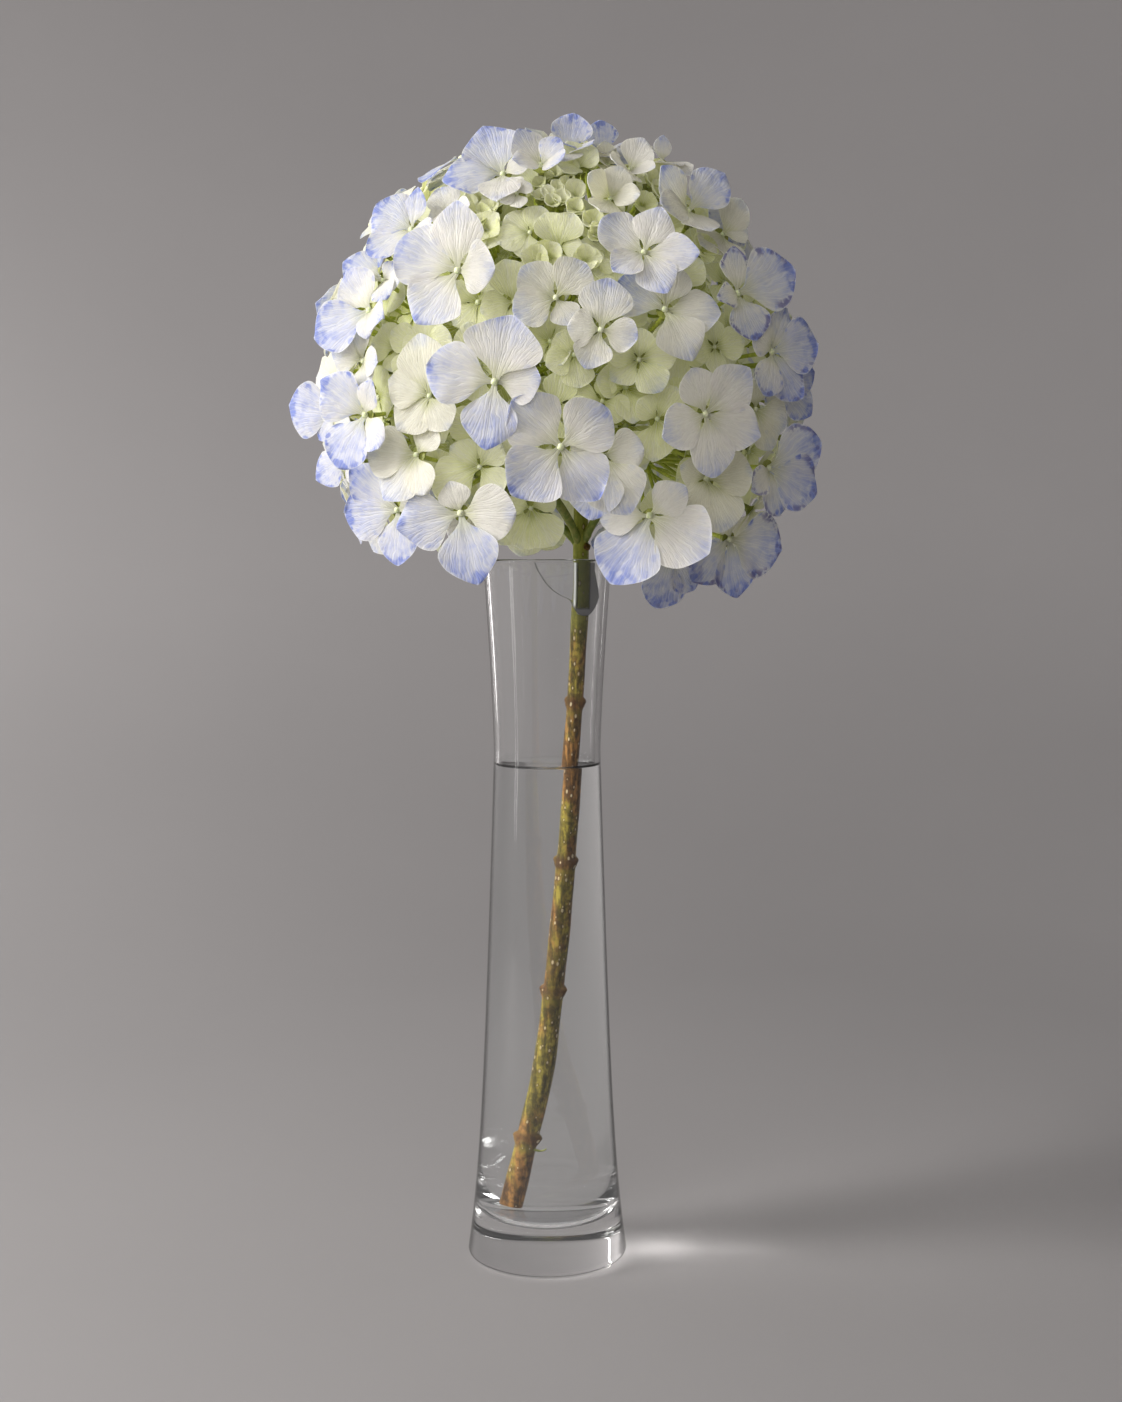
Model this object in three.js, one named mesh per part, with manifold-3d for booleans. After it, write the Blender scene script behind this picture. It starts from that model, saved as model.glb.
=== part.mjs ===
// A hydrangea in a vase: one cut mophead hydrangea standing in a slim glass vase of water.
// Millimetres, +Z up. The origin is the middle of the vase's underside, and -Y is the front.
import * as THREE from 'three';
import { mergeVertices } from 'three/addons/utils/BufferGeometryUtils.js';
import Module from 'manifold-3d';

// ---- Driving dimensions ----------------------------------------------------------------------

const GAP = 0.3;                    // clearance between pieces that touch

// Vase: widest at its base, narrowest at the waist, flared again at the rim.
const VASE_HEIGHT = 260;
const WAIST_HEIGHT = 190;
const WAIST_RADIUS = 19.7;
const BASE_SPREAD = 6.7;            // steady widening from the waist down to the base
const BASE_POWER = 1.1;
const FOOT_SPREAD = 3.7;            // extra widening close to the base
const FOOT_POWER = 6;
const RIM_SPREAD = 3.9;
const RIM_POWER = 1.35;
const WALL = 2.0;
const FLOOR_HEIGHT = 15;            // top of the thick glass bottom
const FLOOR_CORNER = 5;
const HEEL_RADIUS = 3;
const VASE_SIDES = 32;

// Water
const WATER_HEIGHT = 184;

// Stem: its middle line from the cut end up to the fork. It stands on the floor at the back left
// and leans on the rim at the front right.
const STEM_RADIUS = 2.75;
const STEM_SIDES = 8;
const STEM_STEPS = 22;
const STEM_LINE = [
  [-9.3, 8.4, 15.8], [-5.2, 6.2, 43.4], [-1.6, 4.2, 66.6], [1.6, 1.2, 100.4], [5.5, -3.3, 149.3],
  [8.1, -6.8, 184], [9.9, -9.2, 208], [11.3, -11.8, 236], [12.1, -13.2, 252], [12.2, -14.4, 268],
];
const CUT_CLEARANCE = 2;            // height of the clear space round the cut end
const NODE_HEIGHTS = [43.4, 100.4, 149.3, 208];   // leaf-scar swellings
const NODE_RADIUS = 3.8;
const NODE_LENGTH = 4.5;

// Flower head: a ball of florets on rays that fork out of the top of the stem.
const HEAD_CENTRE = [3.2, -16, 321.7];
const OUTER_REACH = 91;             // from the head's centre to the outer florets
const INNER_REACH = 77;             // to the small florets between and behind them
const RAY_REACH = 47;               // to the ends of the rays
const RAY_RADIUS = 1.5;
const RAY_SIDES = 5;
const RAY_STEPS = 4;
const RAY_BEND = 0.45;              // how far up the ray it starts to spread
const KNOB_RADIUS = 3.2;            // end of a ray, where the floret stalks start
const STALK_RADIUS = 0.65;
const STALK_SIDES = 4;
const STALK_STEPS = 3;
const STALK_STRAIGHT = 26;          // last stretch of a stalk, square to its floret
const SEPAL_THICKNESS = 0.8;
const BEAD_HEIGHT = 1.2;
const OPEN_BELOW = 50;              // degrees about straight down that stay free of florets

// The rays' ends lie in rings round the head, from its top down: elevation and first azimuth in
// degrees, and how many rays the ring has.
const RAY_RINGS = [
  { elevation: 90, azimuth: 0, count: 1 },
  { elevation: 45, azimuth: 18, count: 5 },
  { elevation: 3, azimuth: 30, count: 6 },
  { elevation: -36, azimuth: 36, count: 5 },
];

// The view that the florets' places were measured in, in its pixels: the eye, the middle of the
// picture, the focal length and the downward pitch of the line of sight.
const VIEW = { eye: [5.1, -698, 260], middle: [561, 701], focal: 1900, pitch: 4.27 };

// Florets as seen in that view: place in the picture, radius to the sepal tips in millimetres,
// angle of the first sepal in degrees and number of sepals.
const OUTER_FLORETS = [
  [458, 271, 20, 91, 4], [495, 382, 21, 74, 4], [561, 447, 21, 39, 4], [704, 414, 19, -83, 5],
  [650, 516, 21, -32, 4], [461, 513, 21, -76, 4], [644, 253, 17, -3, 5], [556, 298, 16, 54, 4],
  [601, 330, 16, 84, 4], [665, 310, 18, -5, 4], [737, 294, 19, 29, 4], [688, 211, 17, 41, 4],
  [541, 166, 14, 100, 4], [503, 175, 17, 108, 4], [413, 228, 17, 149, 4], [366, 416, 20, 170, 4],
  [370, 311, 19, 207, 4], [364, 361, 16, 115, 4], [417, 455, 16, 45, 4], [430, 396, 14, 30, 4],
  [610, 198, 12, 70, 4], [771, 351, 18, 0, 5], [769, 468, 18, 27, 4], [729, 539, 19, -82, 4],
  [706, 479, 16, 30, 4], [677, 569, 16, -120, 4], [403, 505, 18, -96, 4],
];
const INNER_FLORETS = [
  [479, 467, 13, 80, 4], [639, 360, 13, 90, 5], [573, 356, 12, 40, 4], [657, 420, 13, 20, 4],
  [560, 247, 11, 45, 4], [514, 302, 12, 60, 4], [714, 347, 11, 10, 4], [603, 402, 10, 50, 4],
];

// Florets on the sides that the view doesn't show: places tried one after another along a spiral
// over the ball, each kept if it lies far enough from those kept before.
const HIDDEN_COUNT = 21;
const HIDDEN_SPACING = 25;          // degrees between hidden florets
const HIDDEN_REACH = 85;            // a little less than the outer florets that the view shows
const HIDDEN_RADIUS = 19;
const HIDDEN_SPIN = 47;             // degrees each place on the spiral turns its floret further
const SPIRAL_STEPS = 600;

// ---- Materials --------------------------------------------------------------------------------

const finish = (color, roughness, opacity = 1) => new THREE.MeshStandardMaterial(
  { color, roughness, metalness: 0, opacity, transparent: opacity < 1 });

const GLASS = finish(0xe8eef0, 0.02, 0.3);
const WATER = finish(0xdfe9ea, 0.02, 0.3);
const STEM_GREEN = finish(0x7d7a3a, 0.55);
const OUTER_WHITE = finish(0xe6e6f2, 0.6);
const INNER_CREAM = finish(0xe3e8c0, 0.6);

// ---- Helpers ------------------------------------------------------------------------------------

const wasm = await Module();
wasm.setup();

const vec = (xyz) => new THREE.Vector3(...xyz);

function toSolid(geometry) {
  const bare = geometry.clone();
  bare.deleteAttribute('normal');
  bare.deleteAttribute('uv');
  const merged = mergeVertices(bare, 1e-3);
  return new wasm.Manifold(new wasm.Mesh({
    numProp: 3,
    vertProperties: new Float32Array(merged.attributes.position.array),
    triVerts: new Uint32Array(merged.index.array),
  }));
}

function toGeometry(solid) {
  const mesh = solid.getMesh();
  const geometry = new THREE.BufferGeometry();
  geometry.setAttribute('position', new THREE.BufferAttribute(mesh.vertProperties, mesh.numProp));
  geometry.setIndex(new THREE.BufferAttribute(mesh.triVerts, 1));
  geometry.computeVertexNormals();
  return geometry;
}

function named(name, geometry, material) {
  const mesh = new THREE.Mesh(geometry, material.clone());
  mesh.name = name;
  return mesh;
}

// A round bar of the given radius along a curve.
function bar(curve, radius, sides, steps) {
  const section = new THREE.Shape();
  for (let i = 0; i < sides; i += 1) {
    const angle = (i / sides) * 2 * Math.PI;
    const [x, y] = [radius * Math.cos(angle), radius * Math.sin(angle)];
    if (i === 0) section.moveTo(x, y);
    else section.lineTo(x, y);
  }
  section.closePath();
  return new THREE.ExtrudeGeometry(section, { steps, extrudePath: curve });
}

// ---- Vase and water -------------------------------------------------------------------------------

function outerRadius(z) {
  if (z > WAIST_HEIGHT) {
    const up = (z - WAIST_HEIGHT) / (VASE_HEIGHT - WAIST_HEIGHT);
    return WAIST_RADIUS + RIM_SPREAD * up ** RIM_POWER;
  }
  const down = (WAIST_HEIGHT - z) / WAIST_HEIGHT;
  return WAIST_RADIUS + BASE_SPREAD * down ** BASE_POWER + FOOT_SPREAD * down ** FOOT_POWER;
}

// A profile of (radius, height) points turned about the vase's upright axis.
const lathe = (profile) => new THREE.LatheGeometry(profile, VASE_SIDES).rotateX(Math.PI / 2);

const innerRadius = (z) => outerRadius(z) - WALL;

// Points of a quarter or half turn about (r, z), from one angle to another in degrees.
function turn(r, z, radius, from, to, steps) {
  const points = [];
  for (let i = 0; i <= steps; i += 1) {
    const angle = THREE.MathUtils.degToRad(from + ((to - from) * i) / steps);
    points.push(new THREE.Vector2(r + radius * Math.cos(angle), z + radius * Math.sin(angle)));
  }
  return points;
}

const wall = (radiusAt, heights) => heights.map((z) => new THREE.Vector2(radiusAt(z), z));

// The vase's inside from the middle of its floor up to the given heights, moved in by an inset.
function insideProfile(heights, inset) {
  const corner = FLOOR_HEIGHT + FLOOR_CORNER;
  const cornerMiddle = innerRadius(corner) - FLOOR_CORNER;
  return [
    new THREE.Vector2(0, FLOOR_HEIGHT + inset),
    ...turn(cornerMiddle, corner, FLOOR_CORNER - inset, -90, 0, 3),
    ...wall((z) => innerRadius(z) - inset, heights),
  ];
}

function makeVase() {
  const rim = WALL / 2;
  const outside = [12, 25, 45, 75, 110, 150, WAIST_HEIGHT, 212, 236, VASE_HEIGHT - rim];
  const inside = [40, 75, 110, 150, WAIST_HEIGHT, 212, 236, VASE_HEIGHT - rim];
  const top = turn(outerRadius(VASE_HEIGHT) - rim, VASE_HEIGHT - rim, rim, 45, 135, 2);
  const profile = [
    new THREE.Vector2(0, 0),
    ...turn(outerRadius(HEEL_RADIUS) - HEEL_RADIUS, HEEL_RADIUS, HEEL_RADIUS, -90, 0, 3),
    ...wall(outerRadius, outside),
    ...top,
    ...insideProfile(inside, 0).reverse(),
  ];
  return lathe(profile);
}

function makeWater(stemSolid) {
  const profile = insideProfile([40, 75, 110, 150, WATER_HEIGHT], GAP);
  profile.push(new THREE.Vector2(0, WATER_HEIGHT));
  const body = toSolid(lathe(profile));
  return toGeometry(body.subtract(stemSolid));
}

// ---- Stem --------------------------------------------------------------------------------------

const stemCurve = new THREE.CatmullRomCurve3(STEM_LINE.map(vec));

function stemPlaceAt(z) {
  let [low, high] = [0, 1];
  for (let i = 0; i < 30; i += 1) {
    const half = (low + high) / 2;
    if (stemCurve.getPoint(half).z < z) low = half;
    else high = half;
  }
  return { point: stemCurve.getPoint(low), along: stemCurve.getTangent(low) };
}

// A swelling of the stem where a pair of leaves was stripped off, grown by a margin all round.
function makeNode(z, margin) {
  const { point, along } = stemPlaceAt(z);
  const collar = new THREE.CylinderGeometry(
    NODE_RADIUS + margin, STEM_RADIUS + margin, NODE_LENGTH + 2 * margin, STEM_SIDES);
  const stand = new THREE.Quaternion().setFromUnitVectors(new THREE.Vector3(0, 1, 0), along);
  collar.applyQuaternion(stand);
  collar.translate(point.x, point.y, point.z);
  return toSolid(collar);
}

function makeStemBar(margin) {
  const solids = NODE_HEIGHTS.map((z) => makeNode(z, margin));
  solids.push(toSolid(bar(stemCurve, STEM_RADIUS + margin, STEM_SIDES, STEM_STEPS)));
  return wasm.Manifold.union(solids);
}

// Water keeps clear of the stem by the gap all round, below its cut end too.
function stemHollow() {
  const foot = vec(STEM_LINE[0]);
  const below = new THREE.CylinderGeometry(
    STEM_RADIUS + GAP, STEM_RADIUS + GAP, CUT_CLEARANCE, STEM_SIDES);
  below.rotateX(Math.PI / 2);
  below.translate(foot.x, foot.y, foot.z);
  return makeStemBar(GAP).add(toSolid(below));
}

const headCentre = vec(HEAD_CENTRE);
const fork = vec(STEM_LINE[STEM_LINE.length - 1]);

function direction(azimuth, elevation) {
  const [az, el] = [azimuth, elevation].map(THREE.MathUtils.degToRad);
  return new THREE.Vector3(
    Math.cos(az) * Math.cos(el), Math.sin(az) * Math.cos(el), Math.sin(el));
}

const rayDirections = RAY_RINGS.flatMap(({ elevation, azimuth, count }) => (
  Array.from({ length: count }, (_, i) => direction(azimuth + (i * 360) / count, elevation))));

function makeRay(towards) {
  const end = towards.clone().multiplyScalar(RAY_REACH).add(headCentre);
  const bend = fork.clone().lerp(headCentre, RAY_BEND);
  const start = fork.clone().setZ(fork.z - STEM_RADIUS);
  const curve = new THREE.QuadraticBezierCurve3(start, bend, end);
  const knob = new THREE.IcosahedronGeometry(KNOB_RADIUS, 0);
  knob.translate(end.x, end.y, end.z);
  return toSolid(bar(curve, RAY_RADIUS, RAY_SIDES, RAY_STEPS)).add(toSolid(knob));
}

function makeStem() {
  return toGeometry(wasm.Manifold.union([makeStemBar(0), ...rayDirections.map(makeRay)]));
}

// ---- Florets -------------------------------------------------------------------------------------

// The direction from the head's centre of a floret seen at a pixel, on a ball of the given reach.
function seenDirection(px, py, reach) {
  const pitch = THREE.MathUtils.degToRad(VIEW.pitch);
  const across = px - VIEW.middle[0];
  const up = VIEW.middle[1] - py;
  const sight = new THREE.Vector3(
    across,
    VIEW.focal * Math.cos(pitch) + up * Math.sin(pitch),
    up * Math.cos(pitch) - VIEW.focal * Math.sin(pitch)).normalize();
  const toCentre = headCentre.clone().sub(vec(VIEW.eye));
  const nearest = sight.dot(toCentre);
  const miss = toCentre.lengthSq() - nearest ** 2;
  const into = Math.sqrt(Math.max(reach ** 2 - miss, 0));
  return sight.multiplyScalar(nearest - into).sub(toCentre).normalize();
}

function seenFlorets(list, reach, material) {
  return list.map(([px, py, radius, spin, sepals]) => (
    { towards: seenDirection(px, py, reach), reach, radius, spin, sepals, material }));
}

function hiddenFlorets(placed) {
  const kept = [];
  const closest = Math.cos(THREE.MathUtils.degToRad(HIDDEN_SPACING));
  const lowest = -Math.cos(THREE.MathUtils.degToRad(OPEN_BELOW));
  const goldenAngle = Math.PI * (3 - Math.sqrt(5));
  for (let i = 0; i < SPIRAL_STEPS && kept.length < HIDDEN_COUNT; i += 1) {
    const z = 1 - ((1 - lowest) * (i + 0.5)) / SPIRAL_STEPS;
    const around = i * goldenAngle;
    const flat = Math.sqrt(1 - z * z);
    const towards = new THREE.Vector3(flat * Math.cos(around), flat * Math.sin(around), z);
    const free = [...placed, ...kept].every((other) => other.towards.dot(towards) < closest);
    if (free) {
      kept.push({
        towards, reach: HIDDEN_REACH, radius: HIDDEN_RADIUS, spin: i * HIDDEN_SPIN, sepals: 4,
        material: OUTER_WHITE,
      });
    }
  }
  return kept;
}

// How far the floret may reach along a direction in its own plane before it meets the plane
// half-way to a neighbour. All of it, and its stalk, stays within its own share of the ball.
function roomAlong(floret, tangent, neighbours) {
  let room = floret.radius;
  for (const { towards } of neighbours) {
    const between = towards.clone().sub(floret.towards);
    const apart = between.length();
    const closing = tangent.dot(between) / apart;
    if (closing > 0) {
      const half = (floret.reach - SEPAL_THICKNESS) * (apart / 2);
      room = Math.min(room, (half - GAP / 2) / closing);
    }
  }
  return room;
}

const OUTLINE = [1, 0.93, 0.64, 0.93];   // sepal tip, shoulder, notch between sepals, shoulder

function makeFloret(floret, neighbours, name) {
  const up = floret.towards;
  const across = new THREE.Vector3(0, 0, 1).cross(up).normalize();
  const along = up.clone().cross(across);
  const place = new THREE.Matrix4().makeBasis(across, along, up);
  const corners = floret.sepals * OUTLINE.length;
  const points = [];
  for (let i = 0; i < corners; i += 1) {
    const angle = THREE.MathUtils.degToRad(floret.spin + (i * 360) / corners);
    const tangent = across.clone().multiplyScalar(Math.cos(angle))
      .addScaledVector(along, Math.sin(angle));
    const lobe = OUTLINE[i % OUTLINE.length] * floret.radius;
    const reach = Math.min(lobe, roomAlong(floret, tangent, neighbours));
    points.push(new THREE.Vector2(reach * Math.cos(angle), reach * Math.sin(angle)));
  }
  const plate = new THREE.ExtrudeGeometry(
    new THREE.Shape(points), { depth: SEPAL_THICKNESS, bevelEnabled: false });

  // The stalk starts on the nearest ray's end and comes up square to the floret.
  const ray = rayDirections.reduce((best, other) => (
    other.dot(up) > best.dot(up) ? other : best));
  const toLocal = place.clone().transpose();
  const knob = ray.clone().multiplyScalar(RAY_REACH).addScaledVector(up, -floret.reach)
    .applyMatrix4(toLocal);
  const square = new THREE.Vector3(0, 0, -STALK_STRAIGHT);
  const start = square.clone().sub(knob).setLength(KNOB_RADIUS + GAP).add(knob);
  const tip = new THREE.Vector3(0, 0, SEPAL_THICKNESS + BEAD_HEIGHT);
  const stalkLine = new THREE.QuadraticBezierCurve3(start, square, tip);
  const stalk = bar(stalkLine, STALK_RADIUS, STALK_SIDES, STALK_STEPS);

  const mesh = named(name, toGeometry(toSolid(plate).add(toSolid(stalk))), floret.material);
  mesh.position.copy(up).multiplyScalar(floret.reach);
  mesh.quaternion.setFromRotationMatrix(place);
  return mesh;
}

function makeHead() {
  const head = new THREE.Group();
  head.position.copy(headCentre);
  const outer = seenFlorets(OUTER_FLORETS, OUTER_REACH, OUTER_WHITE);
  outer.push(...hiddenFlorets(outer));
  const inner = seenFlorets(INNER_FLORETS, INNER_REACH, INNER_CREAM);
  const florets = [...outer, ...inner];
  florets.forEach((floret, i) => {
    // Outer florets share the ball among themselves. Inner ones, deeper in, also keep clear of
    // the stalks of the outer ones.
    const sharing = outer.includes(floret) ? outer : florets;
    const neighbours = sharing.filter((other) => other !== floret);
    head.add(makeFloret(floret, neighbours, `floret_${String(i + 1).padStart(2, '0')}`));
  });
  return head;
}

// ---- Object --------------------------------------------------------------------------------------

const group = new THREE.Group();
group.add(named('vase', makeVase(), GLASS));
group.add(named('water', makeWater(stemHollow()), WATER));
group.add(named('stem', makeStem(), STEM_GREEN));
group.add(makeHead());

export default group;
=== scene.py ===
"""A hydrangea in a vase: one cut mophead hydrangea standing in a slim glass vase of water.

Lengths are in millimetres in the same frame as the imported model, and become metres when a mesh
is made. Places marked "seen" are pixels of the picture that the view at the top describes."""
import functools
import math

import bpy
import numpy as np
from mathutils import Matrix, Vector


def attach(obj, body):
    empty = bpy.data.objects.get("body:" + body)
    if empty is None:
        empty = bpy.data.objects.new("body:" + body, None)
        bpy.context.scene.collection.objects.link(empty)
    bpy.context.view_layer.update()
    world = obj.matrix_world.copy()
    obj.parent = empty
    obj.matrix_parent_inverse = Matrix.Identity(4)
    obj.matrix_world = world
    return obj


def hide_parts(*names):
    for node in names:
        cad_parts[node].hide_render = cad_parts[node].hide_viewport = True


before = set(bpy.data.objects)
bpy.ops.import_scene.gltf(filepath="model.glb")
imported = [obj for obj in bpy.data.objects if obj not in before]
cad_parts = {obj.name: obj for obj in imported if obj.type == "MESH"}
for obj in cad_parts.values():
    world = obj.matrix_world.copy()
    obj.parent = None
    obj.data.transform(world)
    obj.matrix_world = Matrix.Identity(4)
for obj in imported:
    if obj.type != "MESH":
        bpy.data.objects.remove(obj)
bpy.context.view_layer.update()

MM = 0.001
UP = np.array([0.0, 0.0, 1.0])
GOLDEN_ANGLE = math.pi * (3 - math.sqrt(5))

# ---- The view: the eye, the picture's size and focal length in pixels, and the pitch down

EYE = np.array([5.1, -698.0, 260.0])
PICTURE_WIDTH, PICTURE_HEIGHT = 1122, 1402
FOCAL = 1900
PITCH = math.radians(4.27)

# ---- Vase and water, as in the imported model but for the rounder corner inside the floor

VASE_HEIGHT = 260
WAIST_HEIGHT, WAIST_RADIUS = 190, 19.7
BASE_SPREAD, BASE_POWER = 6.7, 1.1
FOOT_SPREAD, FOOT_POWER = 3.7, 6
RIM_SPREAD, RIM_POWER = 3.9, 1.35
WALL = 2.0
FLOOR_HEIGHT, FLOOR_CORNER = 15, 12
HEEL_RADIUS = 3
GLASS_SIDES = 160
WATER_HEIGHT = 184
WATER_BITE = 0.06            # the water's mesh reaches this far into the glass, so no air shows
MENISCUS_RISE, MENISCUS_WIDTH = 1.5, 1.1

# ---- Stem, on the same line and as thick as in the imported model

STEM_RADIUS = 2.75
STEM_SIDES = 60
STEM_LINE = np.array([
    [-9.3, 8.4, 15.8], [-5.2, 6.2, 43.4], [-1.6, 4.2, 66.6], [1.6, 1.2, 100.4],
    [5.5, -3.3, 149.3], [8.1, -6.8, 184], [9.9, -9.2, 208], [11.3, -11.8, 236],
    [12.1, -13.2, 252], [12.2, -14.4, 268]])
STEM_RINGS = 340
TAPER_FROM, TAPER_OVER, TAPER = 268, 42, .42     # it thins from here, over so much, by this share
NODE_HEIGHTS = [43.4, 100.4, 149.3, 208]
STUB_REACH, COLLAR = 0.42, 0.13          # how far nodes stand out, as shares of the radius
# A small shoot at the lowest node: its start, bend and tip.
SPROUT = np.array([[-3.9, 5.4, 39.8], [-1.4, 4.6, 38.4], [-.3, 4.4, 40.2]])
SPROUT_RADII = .55, .16
FORK_HEIGHT = 264
FORK_BUD, FORK_BUD_FACING, FORK_BUD_RADIUS = [1.9, -2.0, 0], [.6, -.75, .3], 1.5
BROWN_SHARE = np.array([                 # height, then how brown rather than green the bark is
    [15, .80], [30, .75], [43, .65], [50, .30], [75, .25], [92, .35], [100, .70], [120, .60],
    [140, .50], [149, .80], [160, .45], [175, .60], [190, .90], [208, .85], [222, .55],
    [240, .30], [262, .08], [310, .0]])

# ---- Flower head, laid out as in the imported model, with smaller florets between

HEAD_CENTRE = np.array([3.2, -16.0, 321.7])
OUTER_REACH, RAY_REACH, HIDDEN_REACH = 91, 47, 85
RAY_RINGS = [(90, 0, 1), (45, 18, 5), (3, 30, 6), (-36, 36, 5)]   # elevation, azimuth, count
CORE_LINE = np.array([                   # the stem goes on up into the head
    [12.0, -15.0, 280], [9.4, -15.6, 296], [6.0, -16.0, 309]])
RAY_STARTS = {90: 307, 45: 294, 3: 280, -36: 263}    # elevation of a ring, height of its start
RAY_RISE, RAY_LEAN = 14, 0.44            # how a ray sets off: how far up, how much outwards
RAY_POINTS, RAY_SIDES, RAY_RADII = 40, 14, (1.55, 1.2)
RAY_COLLAR_AT, RAY_COLLAR = 6.5, .16     # how far along a ray its collar is, and how thick
KNOB_RADIUS = 3.2
STALK_STRAIGHT = 26
STALK_RADIUS, STALK_SWELL, STALK_SWELL_OVER = .62, .25, 8
CUP_OVER = .9                # how far down a stalk its cup reaches
OPEN_BELOW = 50
HIDDEN_COUNT, HIDDEN_SPACING, HIDDEN_RADIUS, HIDDEN_SPIN = 21, 25, 19, 47
SPIRAL_STEPS, FILLING_STEPS = 600, 900
FILLING_SPIN, FIVE_SEPALS_SHARE = 61, .15
FACING_SPREAD, TURN_SPREAD, RISE_SPREAD = .09, .07, .1       # in radians
HIDDEN_SEED, HIDDEN_SEPAL_SEED, BUD_SEED = 200, 300, 700
TIP_SEARCH, TIP_STEPS = 1.2, 241     # how far off a tip is looked for, in sepal lengths
HIDDEN_GROWTH = .22          # how much larger the filling florets are away from the view

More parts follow.
